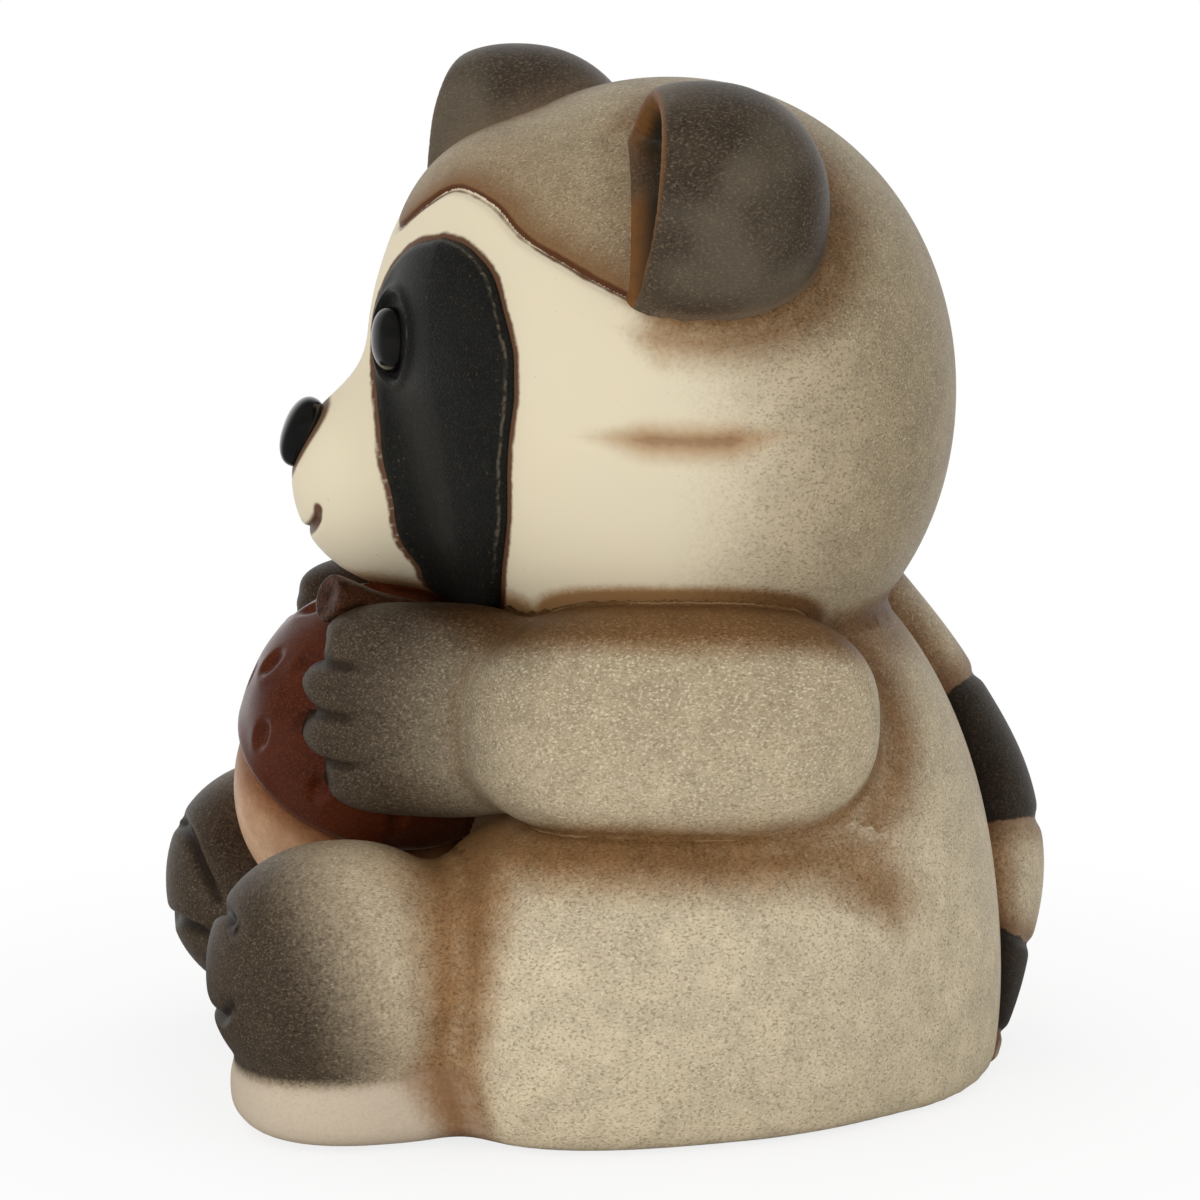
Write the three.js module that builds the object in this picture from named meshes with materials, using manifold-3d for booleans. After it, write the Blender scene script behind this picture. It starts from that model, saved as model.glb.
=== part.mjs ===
// Sitting raccoon figurine in glazed, hand-painted ceramic, holding an acorn.
// Millimetres, +Z up, facing -Y, its left side towards +X. The origin lies on the flat foot.
// Hollow casts and pressed pieces, each cut back to a seat where it is luted to a larger one.
import * as THREE from "three";
import { mergeVertices } from "three/addons/utils/BufferGeometryUtils.js";
import Module from "manifold-3d";

const wasm = await Module();
wasm.setup();

// Making
const SEAT_GAP = 0.3; // slip joint between two luted pieces
const CAST_WALL = 4;
const LIMB_FULLNESS = 2.6; // 2 is an ellipsoid, more is a rounder-shouldered block

// Torso
const TORSO_WIDTH = 63;
const TORSO_DEPTH = 53.2;
const TORSO_BELLY_HEIGHT = 14.5; // its widest ring
const TORSO_RISE = 39; // from the widest ring to the crest
const TORSO_SETBACK = 12.2;
const TORSO_LEAN = 6; // degrees
const TORSO_FULLNESS = 2.2;
const NECK_HEIGHT = 45.5;
const SPIGOT_DIAMETER = 24;
const SPIGOT_BORE = 16;
const SPIGOT_LENGTH = 6;
const SPIGOT_CLEARANCE = 0.4;
const VENT_DIAMETER = 8;
const VENT_SETBACK = 18; // behind the origin, clear of the resting point

// Head
const HEAD_WIDTH = 62;
const HEAD_DEPTH = 55.4;
const HEAD_HEIGHT = 60.2;
const HEAD_LIFT = 21.1; // centre above the neck
const HEAD_ADVANCE = 5; // centre ahead of the torso's centre
const HEAD_TURN = -4.5; // degrees to its left, so a little to its right
const HEAD_FULLNESS = 2.05;
const SKULL_ADVANCE = 0.4; // ahead of the head's centre
const FACE_WIDTH = 34;
const FACE_DEPTH = 21.8;
const FACE_HEIGHT = 27.8;
const FACE_ADVANCE = 16.3;
const FACE_LIFT = 11; // above the head's centre
const FACE_MELT = 4;
const BRIDGE_WIDTH = 10; // ridge between the eyes
const BRIDGE_DEPTH = 18.6;
const BRIDGE_HEIGHT = 27;
const BRIDGE_ADVANCE = 20;
const BRIDGE_LIFT = 3;
const BRIDGE_MELT = 4;
const MUZZLE_WIDTH = 19.2;
const MUZZLE_LENGTH = 24.4;
const MUZZLE_HEIGHT = 22;
const MUZZLE_ADVANCE = 24.9;
const MUZZLE_DROP = 8.2;
const MUZZLE_MELT = 4;

// Nose and eyes
const NOSE_WIDTH = 5;
const NOSE_THICKNESS = 3.8;
const NOSE_HEIGHT = 7;
const NOSE_LIFT = 4.6; // above the muzzle's centre
const NOSE_TILT = -20;
const NOSE_TAPER = 0.3; // how much wider its top is, and narrower its foot
const PATCH_RISE = 1.1;
const PATCH_INNER = 1.5; // half of the pale strip between the patches
const PATCH_OUTER = 23.8;
const PATCH_TOP = 16.4; // above the head's centre
const PATCH_BOTTOM = 19; // below the head's centre
const PATCH_CROWN = 11; // where its top lies, out from the middle of the face
const PATCH_MUZZLE_SIDE = 9.9; // front edge beside the muzzle
const PATCH_TAIL_INNER = 5;
const PATCH_TAIL_OUTER = 15;
const EYE_WIDTH = 5.4;
const EYE_HEIGHT = 6.3;
const EYE_BULGE = 1.7; // crown above the patch
const EYE_SPREAD = 6.4;
const EYE_LIFT = 6; // above the head's centre
const EYE_FACING = 22; // degrees outwards

// Ears
const EAR_WIDTH = 21.6;
const EAR_DEPTH = 24;
const EAR_HEIGHT = 23.6;
const EAR_FULLNESS = 2.2;
const EAR_TILT = 18;
const EAR_SPLAY_LEFT = 49; // degrees from upright; the two ears are set by eye
const EAR_SPLAY_RIGHT = 40;
const EAR_ADVANCE_LEFT = 1.5; // degrees forward of the head's centre
const EAR_ADVANCE_RIGHT = 26;
const EAR_FACING_LEFT = 2; // degrees outwards
const EAR_FACING_RIGHT = 28;
const EAR_SINK = 0.8; // centre under the skull's skin
const EAR_FACE = 6.3; // cut front ahead of the ear's centre
const EAR_FACE_TILT_LEFT = 8.5; // degrees that the cut leans back
const EAR_FACE_TILT_RIGHT = 1;
const EAR_RIM = 2.4;
const EAR_HOLLOW_DEPTH = 6;

// Arms and paws
const ARM_THICKNESS = 19;
const ARM_LENGTH = 39.2;
const ARM_HEIGHT = 22.4;
const ARM_INSET = 6.5; // axis inside the torso's side
const ARM_DROP = 6.7; // axis below the neck
const ARM_FORWARD = 10.8; // middle ahead of the torso's centre
const ARM_TURN = -8;
const PAW_THICKNESS = 13.6;
const PAW_LENGTH = 25;
const PAW_HEIGHT = 20.4;
const PAW_FULLNESS = 2.5;
const PAW_TURN = -20;
const PAW_REACH = 0.2; // centre ahead of the arm's end
const PAW_SPREAD = 1.8; // centre outside the acorn cap
const PAW_LAG_RIGHT = 1.5; // the right paw is set further back
const FINGER_COUNT = 4;
const FINGER_THICKNESS = 5;
const FINGER_LENGTH = 9;
const FINGER_DEPTH = 8;
const FINGER_PROUD = 1; // tip beyond the palm
const FINGER_SPACING = 4.7;
const FINGER_ARC = 0.055; // how far the outer tips fall back, per square millimetre
const FINGER_MELT = 1.2;

// Legs
const THIGH_WIDTH = 34;
const THIGH_LENGTH = 48;
const THIGH_LAP = 3.4; // its top above the arm's underside
const THIGH_AXIS_HEIGHT = 12;
const THIGH_INSET = 11.5; // axis inside the torso's side
const THIGH_FORWARD = 10.7;
const THIGH_TURN = 5;
const TOE_WIDTH = 24.5;
const TOE_LENGTH = 25.6;
const TOE_HEIGHT = 24.4;
const TOE_FULLNESS = 2.15;
const TOE_AXIS_HEIGHT = 15.2;
const TOE_REACH = 6.3; // centre ahead of the thigh's end
const TOE_INSET = 0.5; // centre inside the thigh's axis
const TOE_TURN = 10;
const TOE_LAG_RIGHT = 1.3; // the right toes are set further back
const HEEL_WIDTH = 23;
const HEEL_LENGTH = 25.2;
const HEEL_HEIGHT = 14;
const HEEL_FULLNESS = 2.4;
const HEEL_AXIS_HEIGHT = 4;
const HEEL_SETBACK = 2.2; // behind the toes' centre
const HEEL_INSET = 1;
const HEEL_TURN = 4;
const HEEL_LAG_RIGHT = 9;
const HEEL_MELT = 1.5;

// Tail
const TAIL_THICKNESS = 16.4;
const TAIL_WIDTH = 20;
const TAIL_ROOT_SINK = 8.8; // axis inside the torso's back, at the table
const TAIL_BOW_SINK = 2.4; // at the middle of the bow
const TAIL_SHOULDER_SINK = 5.6;
const TAIL_TIP_SINK = 14;
const TAIL_BOW_HEIGHT = 18;
const TAIL_SHOULDER_HEIGHT = 31;
const TAIL_TIP_HEIGHT = 43;
const TAIL_ROOT_SIDE = 3;
const TAIL_TIP_SIDE = -10; // the tip leans to the right

// Acorn
const CAP_RADIUS = 13.4;
const CAP_DEPTH = 5; // rim below the cap's centre
const CAP_DROP = 10.5; // centre below the neck
const CAP_LEAD = 3.2; // centre ahead of the paws
const ACORN_LEAN_LEFT = 33; // degrees
const ACORN_LEAN_BACK = 11;
const NUT_DIAMETER = 24.6;
const NUT_LENGTH = 30;
const NUT_OFFSET = 7.4; // centre below the cap's centre, along the acorn
const STEM_LENGTH = 10.5;
const STEM_NECK = 5.2; // straight stretch before the flare
const STEM_RIM = 1.6; // thickness of the flared end
const STEM_ROOT_RADIUS = 1.7;
const STEM_END_RADIUS = 2.3;
const STEM_CLIMB = 17; // degrees above level
const STEM_SWING = 20; // degrees outwards

const GLAZES = {
  fur: { color: 0xb0a084, roughness: 0.55 },
  dark: { color: 0x4b423a, roughness: 0.5 },
  black: { color: 0x1f1f1d, roughness: 0.45 },
  gloss: { color: 0x101010, roughness: 0.12 },
  cap: { color: 0x5f2a12, roughness: 0.3 },
  nut: { color: 0xd7b496, roughness: 0.5 },
};

// Facets along each edge of the ball that a piece is pressed from, and around turned pieces.
const HEAD_FACETS = 7;
const TORSO_FACETS = 6;
const LOBED_FACETS = 5;
const PLAIN_FACETS = 4;
const BEAD_FACETS = 2;
const ROUND_SIDES = 32;
const STEM_SIDES = 12;
const TAIL_STEPS = 16;
const PATCH_STEPS = 4;
const WELD = 1e-4;

const rad = THREE.MathUtils.degToRad;
const vec = (x, y, z) => new THREE.Vector3(x, y, z);
const UP = vec(0, 0, 1);
const DOWN = vec(0, 0, -1);
const FORWARD = vec(0, -1, 0);
const LEFT = 1;
const RIGHT = -1;
const torsoCentre = vec(0, TORSO_SETBACK, TORSO_BELLY_HEIGHT);
const headCentre = vec(0, TORSO_SETBACK - HEAD_ADVANCE, NECK_HEIGHT + HEAD_LIFT);
const beyondAll = 4 * (TORSO_WIDTH + HEAD_HEIGHT);

// A rounded block: its distance function measures from a point to its skin, negative inside.
function lump(centre, sizes, fullness = 2, turn = [0, 0, 0]) {
  const half = sizes.map((size) => size / 2);
  const euler = new THREE.Euler(rad(turn[0]), rad(turn[1]), rad(turn[2]), "ZYX");
  const unturn = new THREE.Quaternion().setFromEuler(euler).invert();
  const local = vec(0, 0, 0);
  return (point) => {
    local.copy(point).sub(centre).applyQuaternion(unturn);
    const shares = local.toArray().map((value, i) => Math.abs(value / half[i]) + Number.EPSILON);
    const sum = shares.reduce((total, share) => total + share ** fullness, 0);
    const radius = sum ** (1 / fullness);
    const slopes = shares.map((share, i) => (share / radius) ** (fullness - 1) / half[i]);
    return (radius - 1) / Math.hypot(...slopes);
  };
}

// Two forms run together with a soft fillet.
function melt(first, second, width) {
  return (point) => {
    const a = first(point);
    const b = second(point);
    const overlap = Math.max(width - Math.abs(a - b), 0) / width;
    return Math.min(a, b) - (overlap * overlap * width) / 4;
  };
}

function welded(geometry) {
  const bare = geometry.clone();
  bare.deleteAttribute("normal");
  bare.deleteAttribute("uv");
  return mergeVertices(bare, WELD);
}

function solid(geometry) {
  const skin = welded(geometry);
  const vertProperties = new Float32Array(skin.attributes.position.array);
  const triVerts = new Uint32Array(skin.index.array);
  return new wasm.Manifold(new wasm.Mesh({ numProp: 3, vertProperties, triVerts }));
}

// Distance from a point to the skin of a form, along a direction.
function skinDistance(form, from, direction, inflate = 0) {
  const halvings = 36;
  const probe = vec(0, 0, 0);
  let inside = 0;
  let outside = beyondAll;
  for (let step = 0; step < halvings; step += 1) {
    const middle = (inside + outside) / 2;
    probe.copy(direction).multiplyScalar(middle).add(from);
    const within = form(probe) < inflate;
    inside = within ? middle : inside;
    outside = within ? outside : middle;
  }
  return inside;
}

// A ball of clay pressed out from its centre to the skin of a form.
function blob(centre, form, facets, inflate = 0) {
  const ball = welded(new THREE.IcosahedronGeometry(1, facets));
  const place = ball.attributes.position;
  const direction = vec(0, 0, 0);
  for (let i = 0; i < place.count; i += 1) {
    direction.fromBufferAttribute(place, i).normalize();
    const reach = skinDistance(form, centre, direction, inflate);
    direction.multiplyScalar(reach).add(centre);
    place.setXYZ(i, direction.x, direction.y, direction.z);
  }
  return solid(ball);
}

// Everything ahead of a plane through a point.
function halfSpace(point, facing) {
  const box = new THREE.BoxGeometry(beyondAll, beyondAll, beyondAll);
  box.translate(0, 0, beyondAll / 2);
  box.applyQuaternion(new THREE.Quaternion().setFromUnitVectors(UP, facing.clone().normalize()));
  box.translate(point.x, point.y, point.z);
  return solid(box);
}

function upright(diameter, bottom, top, y) {
  const rod = new THREE.CylinderGeometry(diameter / 2, diameter / 2, top - bottom, ROUND_SIDES);
  rod.rotateX(Math.PI / 2);
  rod.translate(0, y, (top + bottom) / 2);
  return solid(rod);
}

const above = (height) => halfSpace(vec(0, 0, height), UP);
const below = (height) => halfSpace(vec(0, 0, height), DOWN);
const onTable = above(0);
const ownHalf = (side) => halfSpace(vec((side * SEAT_GAP) / 2, 0, 0), vec(side, 0, 0));

// Limbs are shaped for the left side and mirrored for the right.
const mirrored = (point, side) => vec(side * point.x, point.y, point.z);
const sided = (form, side) => (point) => form(mirrored(point, side));
const lag = (side, amount) => (side === RIGHT ? amount : 0);

// Torso: an egg cut level at the neck, where the spigot stands.
const torsoSizes = [TORSO_WIDTH, TORSO_DEPTH, 2 * TORSO_RISE];
const torsoForm = lump(torsoCentre, torsoSizes, TORSO_FULLNESS, [TORSO_LEAN, 0, 0]);

function torsoShape(inflate) {
  return blob(torsoCentre, torsoForm, TORSO_FACETS, inflate).intersect(below(NECK_HEIGHT + inflate));
}

function torsoPiece() {
  const inside = blob(torsoCentre, torsoForm, PLAIN_FACETS, -CAST_WALL);
  const cavity = inside.intersect(below(NECK_HEIGHT - CAST_WALL)).intersect(above(CAST_WALL));
  const spigotTop = NECK_HEIGHT + SPIGOT_LENGTH;
  const spigotFoot = NECK_HEIGHT - CAST_WALL / 2;
  const spigot = upright(SPIGOT_DIAMETER, spigotFoot, spigotTop, TORSO_SETBACK);
  const bore = upright(SPIGOT_BORE, NECK_HEIGHT - 2 * CAST_WALL, spigotTop + CAST_WALL, TORSO_SETBACK);
  const vent = upright(VENT_DIAMETER, -CAST_WALL, 2 * CAST_WALL, VENT_SETBACK);
  const shell = torsoShape(0).intersect(onTable).subtract(cavity);
  return shell.add(spigot).subtract(bore).subtract(vent);
}

// Head: a near-round skull, a narrower face with a ridge between the eyes, and a short muzzle.
const headTurn = new THREE.Quaternion().setFromAxisAngle(UP, rad(HEAD_TURN));
const headUnturn = headTurn.clone().invert();
const intoHead = (point) => point.clone().sub(headCentre).applyQuaternion(headUnturn);
const outOfHead = (point) => point.clone().applyQuaternion(headTurn).add(headCentre);
const middleOfHead = vec(0, 0, 0);
const skullCentre = vec(0, -SKULL_ADVANCE, 0);
const skull = lump(skullCentre, [HEAD_WIDTH, HEAD_DEPTH, HEAD_HEIGHT], HEAD_FULLNESS);
const faceCentre = vec(0, -FACE_ADVANCE, FACE_LIFT);
const face = lump(faceCentre, [FACE_WIDTH, FACE_DEPTH, FACE_HEIGHT]);
const bridgeCentre = vec(0, -BRIDGE_ADVANCE, BRIDGE_LIFT);
const bridge = lump(bridgeCentre, [BRIDGE_WIDTH, BRIDGE_DEPTH, BRIDGE_HEIGHT]);
const muzzleCentre = vec(0, -MUZZLE_ADVANCE, -MUZZLE_DROP);
const muzzle = lump(muzzleCentre, [MUZZLE_WIDTH, MUZZLE_LENGTH, MUZZLE_HEIGHT]);
const brow = melt(melt(skull, face, FACE_MELT), bridge, BRIDGE_MELT);
const headForm = melt(brow, muzzle, MUZZLE_MELT);
const neckFloor = NECK_HEIGHT + SEAT_GAP;

// A blob whose centre and form are given in the head's own axes.
function headBlob(centre, form, facets, inflate = 0) {
  return blob(outOfHead(centre), (point) => form(intoHead(point)), facets, inflate);
}

function headShape(inflate) {
  return headBlob(middleOfHead, headForm, HEAD_FACETS, inflate).intersect(above(neckFloor - inflate));
}

function headPiece() {
  const inside = headBlob(middleOfHead, headForm, PLAIN_FACETS, -CAST_WALL);
  const cavity = inside.intersect(above(neckFloor + CAST_WALL));
  const socketDiameter = SPIGOT_DIAMETER + 2 * SPIGOT_CLEARANCE;
  const socketTop = NECK_HEIGHT + SPIGOT_LENGTH + CAST_WALL;
  const socket = upright(socketDiameter, NECK_HEIGHT - CAST_WALL, socketTop, TORSO_SETBACK);
  return headShape(0).subtract(cavity).subtract(socket);
}

// Nose: a rounded wedge on the muzzle, wider at its top.
function noseShape() {
  const height = NOSE_LIFT - MUZZLE_DROP;
  const centre = vec(0, -skinDistance(headForm, vec(0, 0, height), FORWARD), height);
  const block = lump(centre, [NOSE_WIDTH, NOSE_THICKNESS, NOSE_HEIGHT], 2, [NOSE_TILT, 0, 0]);
  const form = (point) => {
    const rise = THREE.MathUtils.clamp((point.z - centre.z) / (NOSE_HEIGHT / 2), -1, 1);
    return block(vec(point.x / (1 + NOSE_TAPER * rise), point.y, point.z));
  };
  return headBlob(centre, form, BEAD_FACETS);
}

// Eye patch: a slab over the face, from beside the bridge of the nose down to the jaw.
function patchPrism(side) {
  const at = (out, up) => new THREE.Vector2(side * out, up);
  const outline = new THREE.Shape();
  outline.moveTo(side * PATCH_TAIL_INNER, -PATCH_BOTTOM);
  outline.splineThru([
    at(PATCH_MUZZLE_SIDE, -PATCH_BOTTOM / 2),
    at(PATCH_INNER, PATCH_TOP / 2),
    at(PATCH_CROWN, PATCH_TOP),
    at((PATCH_CROWN + 2 * PATCH_OUTER) / 3, (2 * PATCH_TOP) / 3),
    at(PATCH_OUTER, 0),
    at((PATCH_OUTER + PATCH_TAIL_OUTER) / 2, (-2 * PATCH_BOTTOM) / 3),
    at(PATCH_TAIL_OUTER, -PATCH_BOTTOM),
  ]);
  outline.closePath();
  const depth = HEAD_DEPTH + MUZZLE_LENGTH;
  const sweep = { depth, bevelEnabled: false, curveSegments: PATCH_STEPS };
  const prism = new THREE.ExtrudeGeometry(outline, sweep);
  prism.rotateX(Math.PI / 2);
  prism.applyQuaternion(headTurn);
  prism.translate(headCentre.x, headCentre.y, headCentre.z);
  return solid(prism);
}

const patchShape = (side, inflate) => headShape(PATCH_RISE + inflate).intersect(patchPrism(side));

// Eye: a dome on its patch, facing outwards from the head.
function eyeShape(side) {
  const start = vec(side * EYE_SPREAD, 0, EYE_LIFT);
  const reach = skinDistance(headForm, start, FORWARD, PATCH_RISE + SEAT_GAP);
  const seat = vec(start.x, -reach, start.z);
  const form = lump(seat, [EYE_WIDTH, 2 * EYE_BULGE, EYE_HEIGHT], 2, [0, 0, side * EYE_FACING]);
  return headBlob(seat, form, BEAD_FACETS);
}

// Ear: a pinched cup set on the skull, its front cut flat and hollowed.
function earShape(side) {
  const splay = rad(side === LEFT ? EAR_SPLAY_LEFT : EAR_SPLAY_RIGHT);
  const advance = rad(side === LEFT ? EAR_ADVANCE_LEFT : EAR_ADVANCE_RIGHT);
  const facing = side === LEFT ? EAR_FACING_LEFT : -EAR_FACING_RIGHT;
  const level = Math.cos(advance);
  const out = vec(side * Math.sin(splay) * level, -Math.sin(advance), Math.cos(splay) * level);
  const centre = out.clone().multiplyScalar(skinDistance(headForm, middleOfHead, out) - EAR_SINK);
  const turn = [0, side * EAR_TILT, facing];
  const outer = lump(centre, [EAR_WIDTH, EAR_DEPTH, EAR_HEIGHT], EAR_FULLNESS, turn);
  const ahead = FORWARD.clone().applyAxisAngle(UP, rad(facing));
  const cutAt = centre.clone().addScaledVector(ahead, EAR_FACE);
  const tilt = rad(side === LEFT ? EAR_FACE_TILT_LEFT : EAR_FACE_TILT_RIGHT);
  const cutFacing = ahead.clone().multiplyScalar(-Math.cos(tilt)).addScaledVector(DOWN, Math.sin(tilt));
  const hollowSizes = [EAR_WIDTH - 2 * EAR_RIM, 2 * EAR_HOLLOW_DEPTH, EAR_HEIGHT - 2 * EAR_RIM];
  const hollow = lump(cutAt, hollowSizes, EAR_FULLNESS, turn);
  const front = halfSpace(outOfHead(cutAt), cutFacing.applyQuaternion(headTurn));
  const cup = headBlob(centre, outer, PLAIN_FACETS).intersect(front);
  return cup.subtract(headBlob(cutAt, hollow, PLAIN_FACETS));
}

// Arm: a fat roll along the flank, under the head and over the thigh.
const flank = TORSO_WIDTH / 2;
const armCentre = vec(flank - ARM_INSET, TORSO_SETBACK - ARM_FORWARD, NECK_HEIGHT - ARM_DROP);
const armSizes = [ARM_THICKNESS, ARM_LENGTH, ARM_HEIGHT];
const armForm = lump(armCentre, armSizes, LIMB_FULLNESS, [0, 0, ARM_TURN]);

function armShape(side, inflate) {
  return blob(mirrored(armCentre, side), sided(armForm, side), PLAIN_FACETS, inflate);
}

// Thigh: a rounded haunch beside the torso.
const thighCentre = vec(flank - THIGH_INSET, TORSO_SETBACK - THIGH_FORWARD, THIGH_AXIS_HEIGHT);
const thighTop = armCentre.z - ARM_HEIGHT / 2 + THIGH_LAP;
const thighSizes = [THIGH_WIDTH, THIGH_LENGTH, 2 * (thighTop - THIGH_AXIS_HEIGHT)];
const thighForm = lump(thighCentre, thighSizes, LIMB_FULLNESS, [0, 0, THIGH_TURN]);

function thighShape(side, inflate) {
  return blob(mirrored(thighCentre, side), sided(thighForm, side), PLAIN_FACETS, inflate);
}

// Foot: an upright ball of toes over a flat heel.
function footShape(side, inflate) {
  const toeX = thighCentre.x - TOE_INSET;
  const toeY = thighCentre.y - THIGH_LENGTH / 2 - TOE_REACH;
  const toeCentre = vec(toeX, toeY + lag(side, TOE_LAG_RIGHT), TOE_AXIS_HEIGHT);
  const heelY = toeY + HEEL_SETBACK + lag(side, HEEL_LAG_RIGHT);
  const heelCentre = vec(toeX - HEEL_INSET, heelY, HEEL_AXIS_HEIGHT);
  const toes = lump(toeCentre, [TOE_WIDTH, TOE_LENGTH, TOE_HEIGHT], TOE_FULLNESS, [0, 0, TOE_TURN]);
  const heel = lump(heelCentre, [HEEL_WIDTH, HEEL_LENGTH, HEEL_HEIGHT], HEEL_FULLNESS, [0, 0, HEEL_TURN]);
  const start = toeCentre.clone().add(heelCentre).multiplyScalar(0.5);
  const form = melt(toes, heel, HEEL_MELT);
  return blob(mirrored(start, side), sided(form, side), LOBED_FACETS, inflate);
}

// Acorn: held in front of the chest, its cap under the chin and its nut over the feet.
const pawY = armCentre.y - ARM_LENGTH / 2 - PAW_REACH;
const capCentre = vec(0, pawY - CAP_LEAD, NECK_HEIGHT - CAP_DROP);
const acornTurn = [-ACORN_LEAN_BACK, ACORN_LEAN_LEFT, 0];
const acornAxis = UP.clone().applyEuler(new THREE.Euler(...acornTurn.map(rad), "ZYX"));
const alongAcorn = (distance) => capCentre.clone().addScaledVector(acornAxis, distance);
const capForm = lump(capCentre, [2 * CAP_RADIUS, 2 * CAP_RADIUS, 2 * CAP_RADIUS]);
const nutCentre = alongAcorn(-NUT_OFFSET);
const nutForm = lump(nutCentre, [NUT_DIAMETER, NUT_DIAMETER, NUT_LENGTH], 2, acornTurn);
const nutShape = (inflate) => blob(nutCentre, nutForm, PLAIN_FACETS, inflate);

function capShape(inflate) {
  const rim = halfSpace(alongAcorn(-CAP_DEPTH - inflate), acornAxis);
  return blob(capCentre, capForm, LOBED_FACETS, inflate).intersect(rim);
}

// Stem: a stalk turned forwards under the chin, flared to its cut end.
function stemShape(inflate) {
  const rootRadius = STEM_ROOT_RADIUS + inflate;
  const endRadius = STEM_END_RADIUS + inflate;
  const end = STEM_LENGTH + inflate;
  const profile = [
    new THREE.Vector2(0, -rootRadius),
    new THREE.Vector2(rootRadius, -rootRadius),
    new THREE.Vector2(rootRadius, STEM_NECK),
    new THREE.Vector2(endRadius, STEM_LENGTH - STEM_RIM),
    new THREE.Vector2(endRadius, end),
    new THREE.Vector2(0, end),
  ];
  const stalk = new THREE.LatheGeometry(profile, STEM_SIDES);
  stalk.rotateX(Math.PI - rad(STEM_CLIMB));
  stalk.rotateZ(rad(STEM_SWING));
  const root = alongAcorn(CAP_RADIUS);
  stalk.translate(root.x, root.y, root.z);
  return solid(stalk);
}

// Paw: a palm and its short fingers closed over the side of the cap.
function pawShape(side) {
  const centre = vec(CAP_RADIUS + PAW_SPREAD, pawY + lag(side, PAW_LAG_RIGHT), armCentre.z);
  const turn = [0, 0, PAW_TURN];
  const forward = FORWARD.clone().applyAxisAngle(UP, rad(PAW_TURN));
  let form = lump(centre, [PAW_THICKNESS, PAW_LENGTH, PAW_HEIGHT], PAW_FULLNESS, turn);
  for (let i = 0; i < FINGER_COUNT; i += 1) {
    const rise = (i - (FINGER_COUNT - 1) / 2) * FINGER_SPACING;
    const reach = (PAW_LENGTH - FINGER_LENGTH) / 2 + FINGER_PROUD - FINGER_ARC * rise * rise;
    const knuckle = centre.clone().addScaledVector(forward, reach).addScaledVector(UP, rise);
    const finger = lump(knuckle, [FINGER_DEPTH, FINGER_LENGTH, FINGER_THICKNESS], 2, turn);
    form = melt(form, finger, FINGER_MELT);
  }
  return blob(mirrored(centre, side), sided(form, side), LOBED_FACETS);
}

// Tail: a thick oval roll that bows up the back, leans to the right and ends in a round tip.
function tailShape() {
  const back = TORSO_SETBACK + TORSO_DEPTH / 2;
  const at = (height, sink) => {
    const side = THREE.MathUtils.lerp(TAIL_ROOT_SIDE, TAIL_TIP_SIDE, height / TAIL_TIP_HEIGHT);
    return vec(side, back - sink, height);
  };
  const tip = at(TAIL_TIP_HEIGHT, TAIL_TIP_SINK);
  const curve = new THREE.CatmullRomCurve3([
    at(-TAIL_THICKNESS, TAIL_ROOT_SINK + TAIL_THICKNESS / 2),
    at(0, TAIL_ROOT_SINK),
    at(TAIL_BOW_HEIGHT, TAIL_BOW_SINK),
    at(TAIL_SHOULDER_HEIGHT, TAIL_SHOULDER_SINK),
    tip,
  ]);
  const section = new THREE.Shape();
  section.absellipse(0, 0, TAIL_WIDTH / 2, TAIL_THICKNESS / 2, 0, 2 * Math.PI);
  const sweep = { steps: TAIL_STEPS, curveSegments: TAIL_STEPS / 2, extrudePath: curve };
  const roll = solid(new THREE.ExtrudeGeometry(section, sweep));
  const heading = curve.getTangentAt(1);
  const lean = THREE.MathUtils.radToDeg(Math.atan2(heading.x, heading.z));
  const end = lump(tip, [TAIL_WIDTH, TAIL_THICKNESS, TAIL_THICKNESS], 2, [0, lean, 0]);
  return roll.add(blob(tip, end, PLAIN_FACETS));
}

// A piece cut back to its seats, without the offcuts beyond them.
function seated(piece, ...seats) {
  const rest = seats.reduce((left, seat) => left.subtract(seat), piece);
  return rest.decompose().reduce((best, body) => (body.volume() > best.volume() ? body : best));
}

const figurine = new THREE.Group();

function place(name, piece, glaze) {
  const skin = piece.getMesh();
  const geometry = new THREE.BufferGeometry();
  const corners = new Float32Array(skin.vertProperties);
  geometry.setAttribute("position", new THREE.BufferAttribute(corners, 3));
  geometry.setIndex(new THREE.BufferAttribute(new Uint32Array(skin.triVerts), 1));
  geometry.computeVertexNormals();
  const material = new THREE.MeshStandardMaterial({ ...GLAZES[glaze], metalness: 0 });
  const node = new THREE.Mesh(geometry, material);
  node.name = name;
  figurine.add(node);
}

// Seats: each carrying piece, a slip joint larger.
const pairOf = (shape) => [shape(LEFT, SEAT_GAP), shape(RIGHT, SEAT_GAP)];
const torsoSeat = torsoShape(SEAT_GAP);
const headSeats = [headShape(SEAT_GAP), ...pairOf(patchShape)];
const patchTop = headShape(PATCH_RISE + SEAT_GAP);
const thighSeats = pairOf(thighShape);
const footSeats = pairOf(footShape);
const armSeats = pairOf(armShape);
const legSeats = [...thighSeats, ...footSeats];
const limbSeats = [...legSeats, ...armSeats];
const nutSeat = nutShape(SEAT_GAP);
const capSeat = capShape(SEAT_GAP);
const acornSeats = [nutSeat, capSeat, stemShape(SEAT_GAP)];

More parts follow.
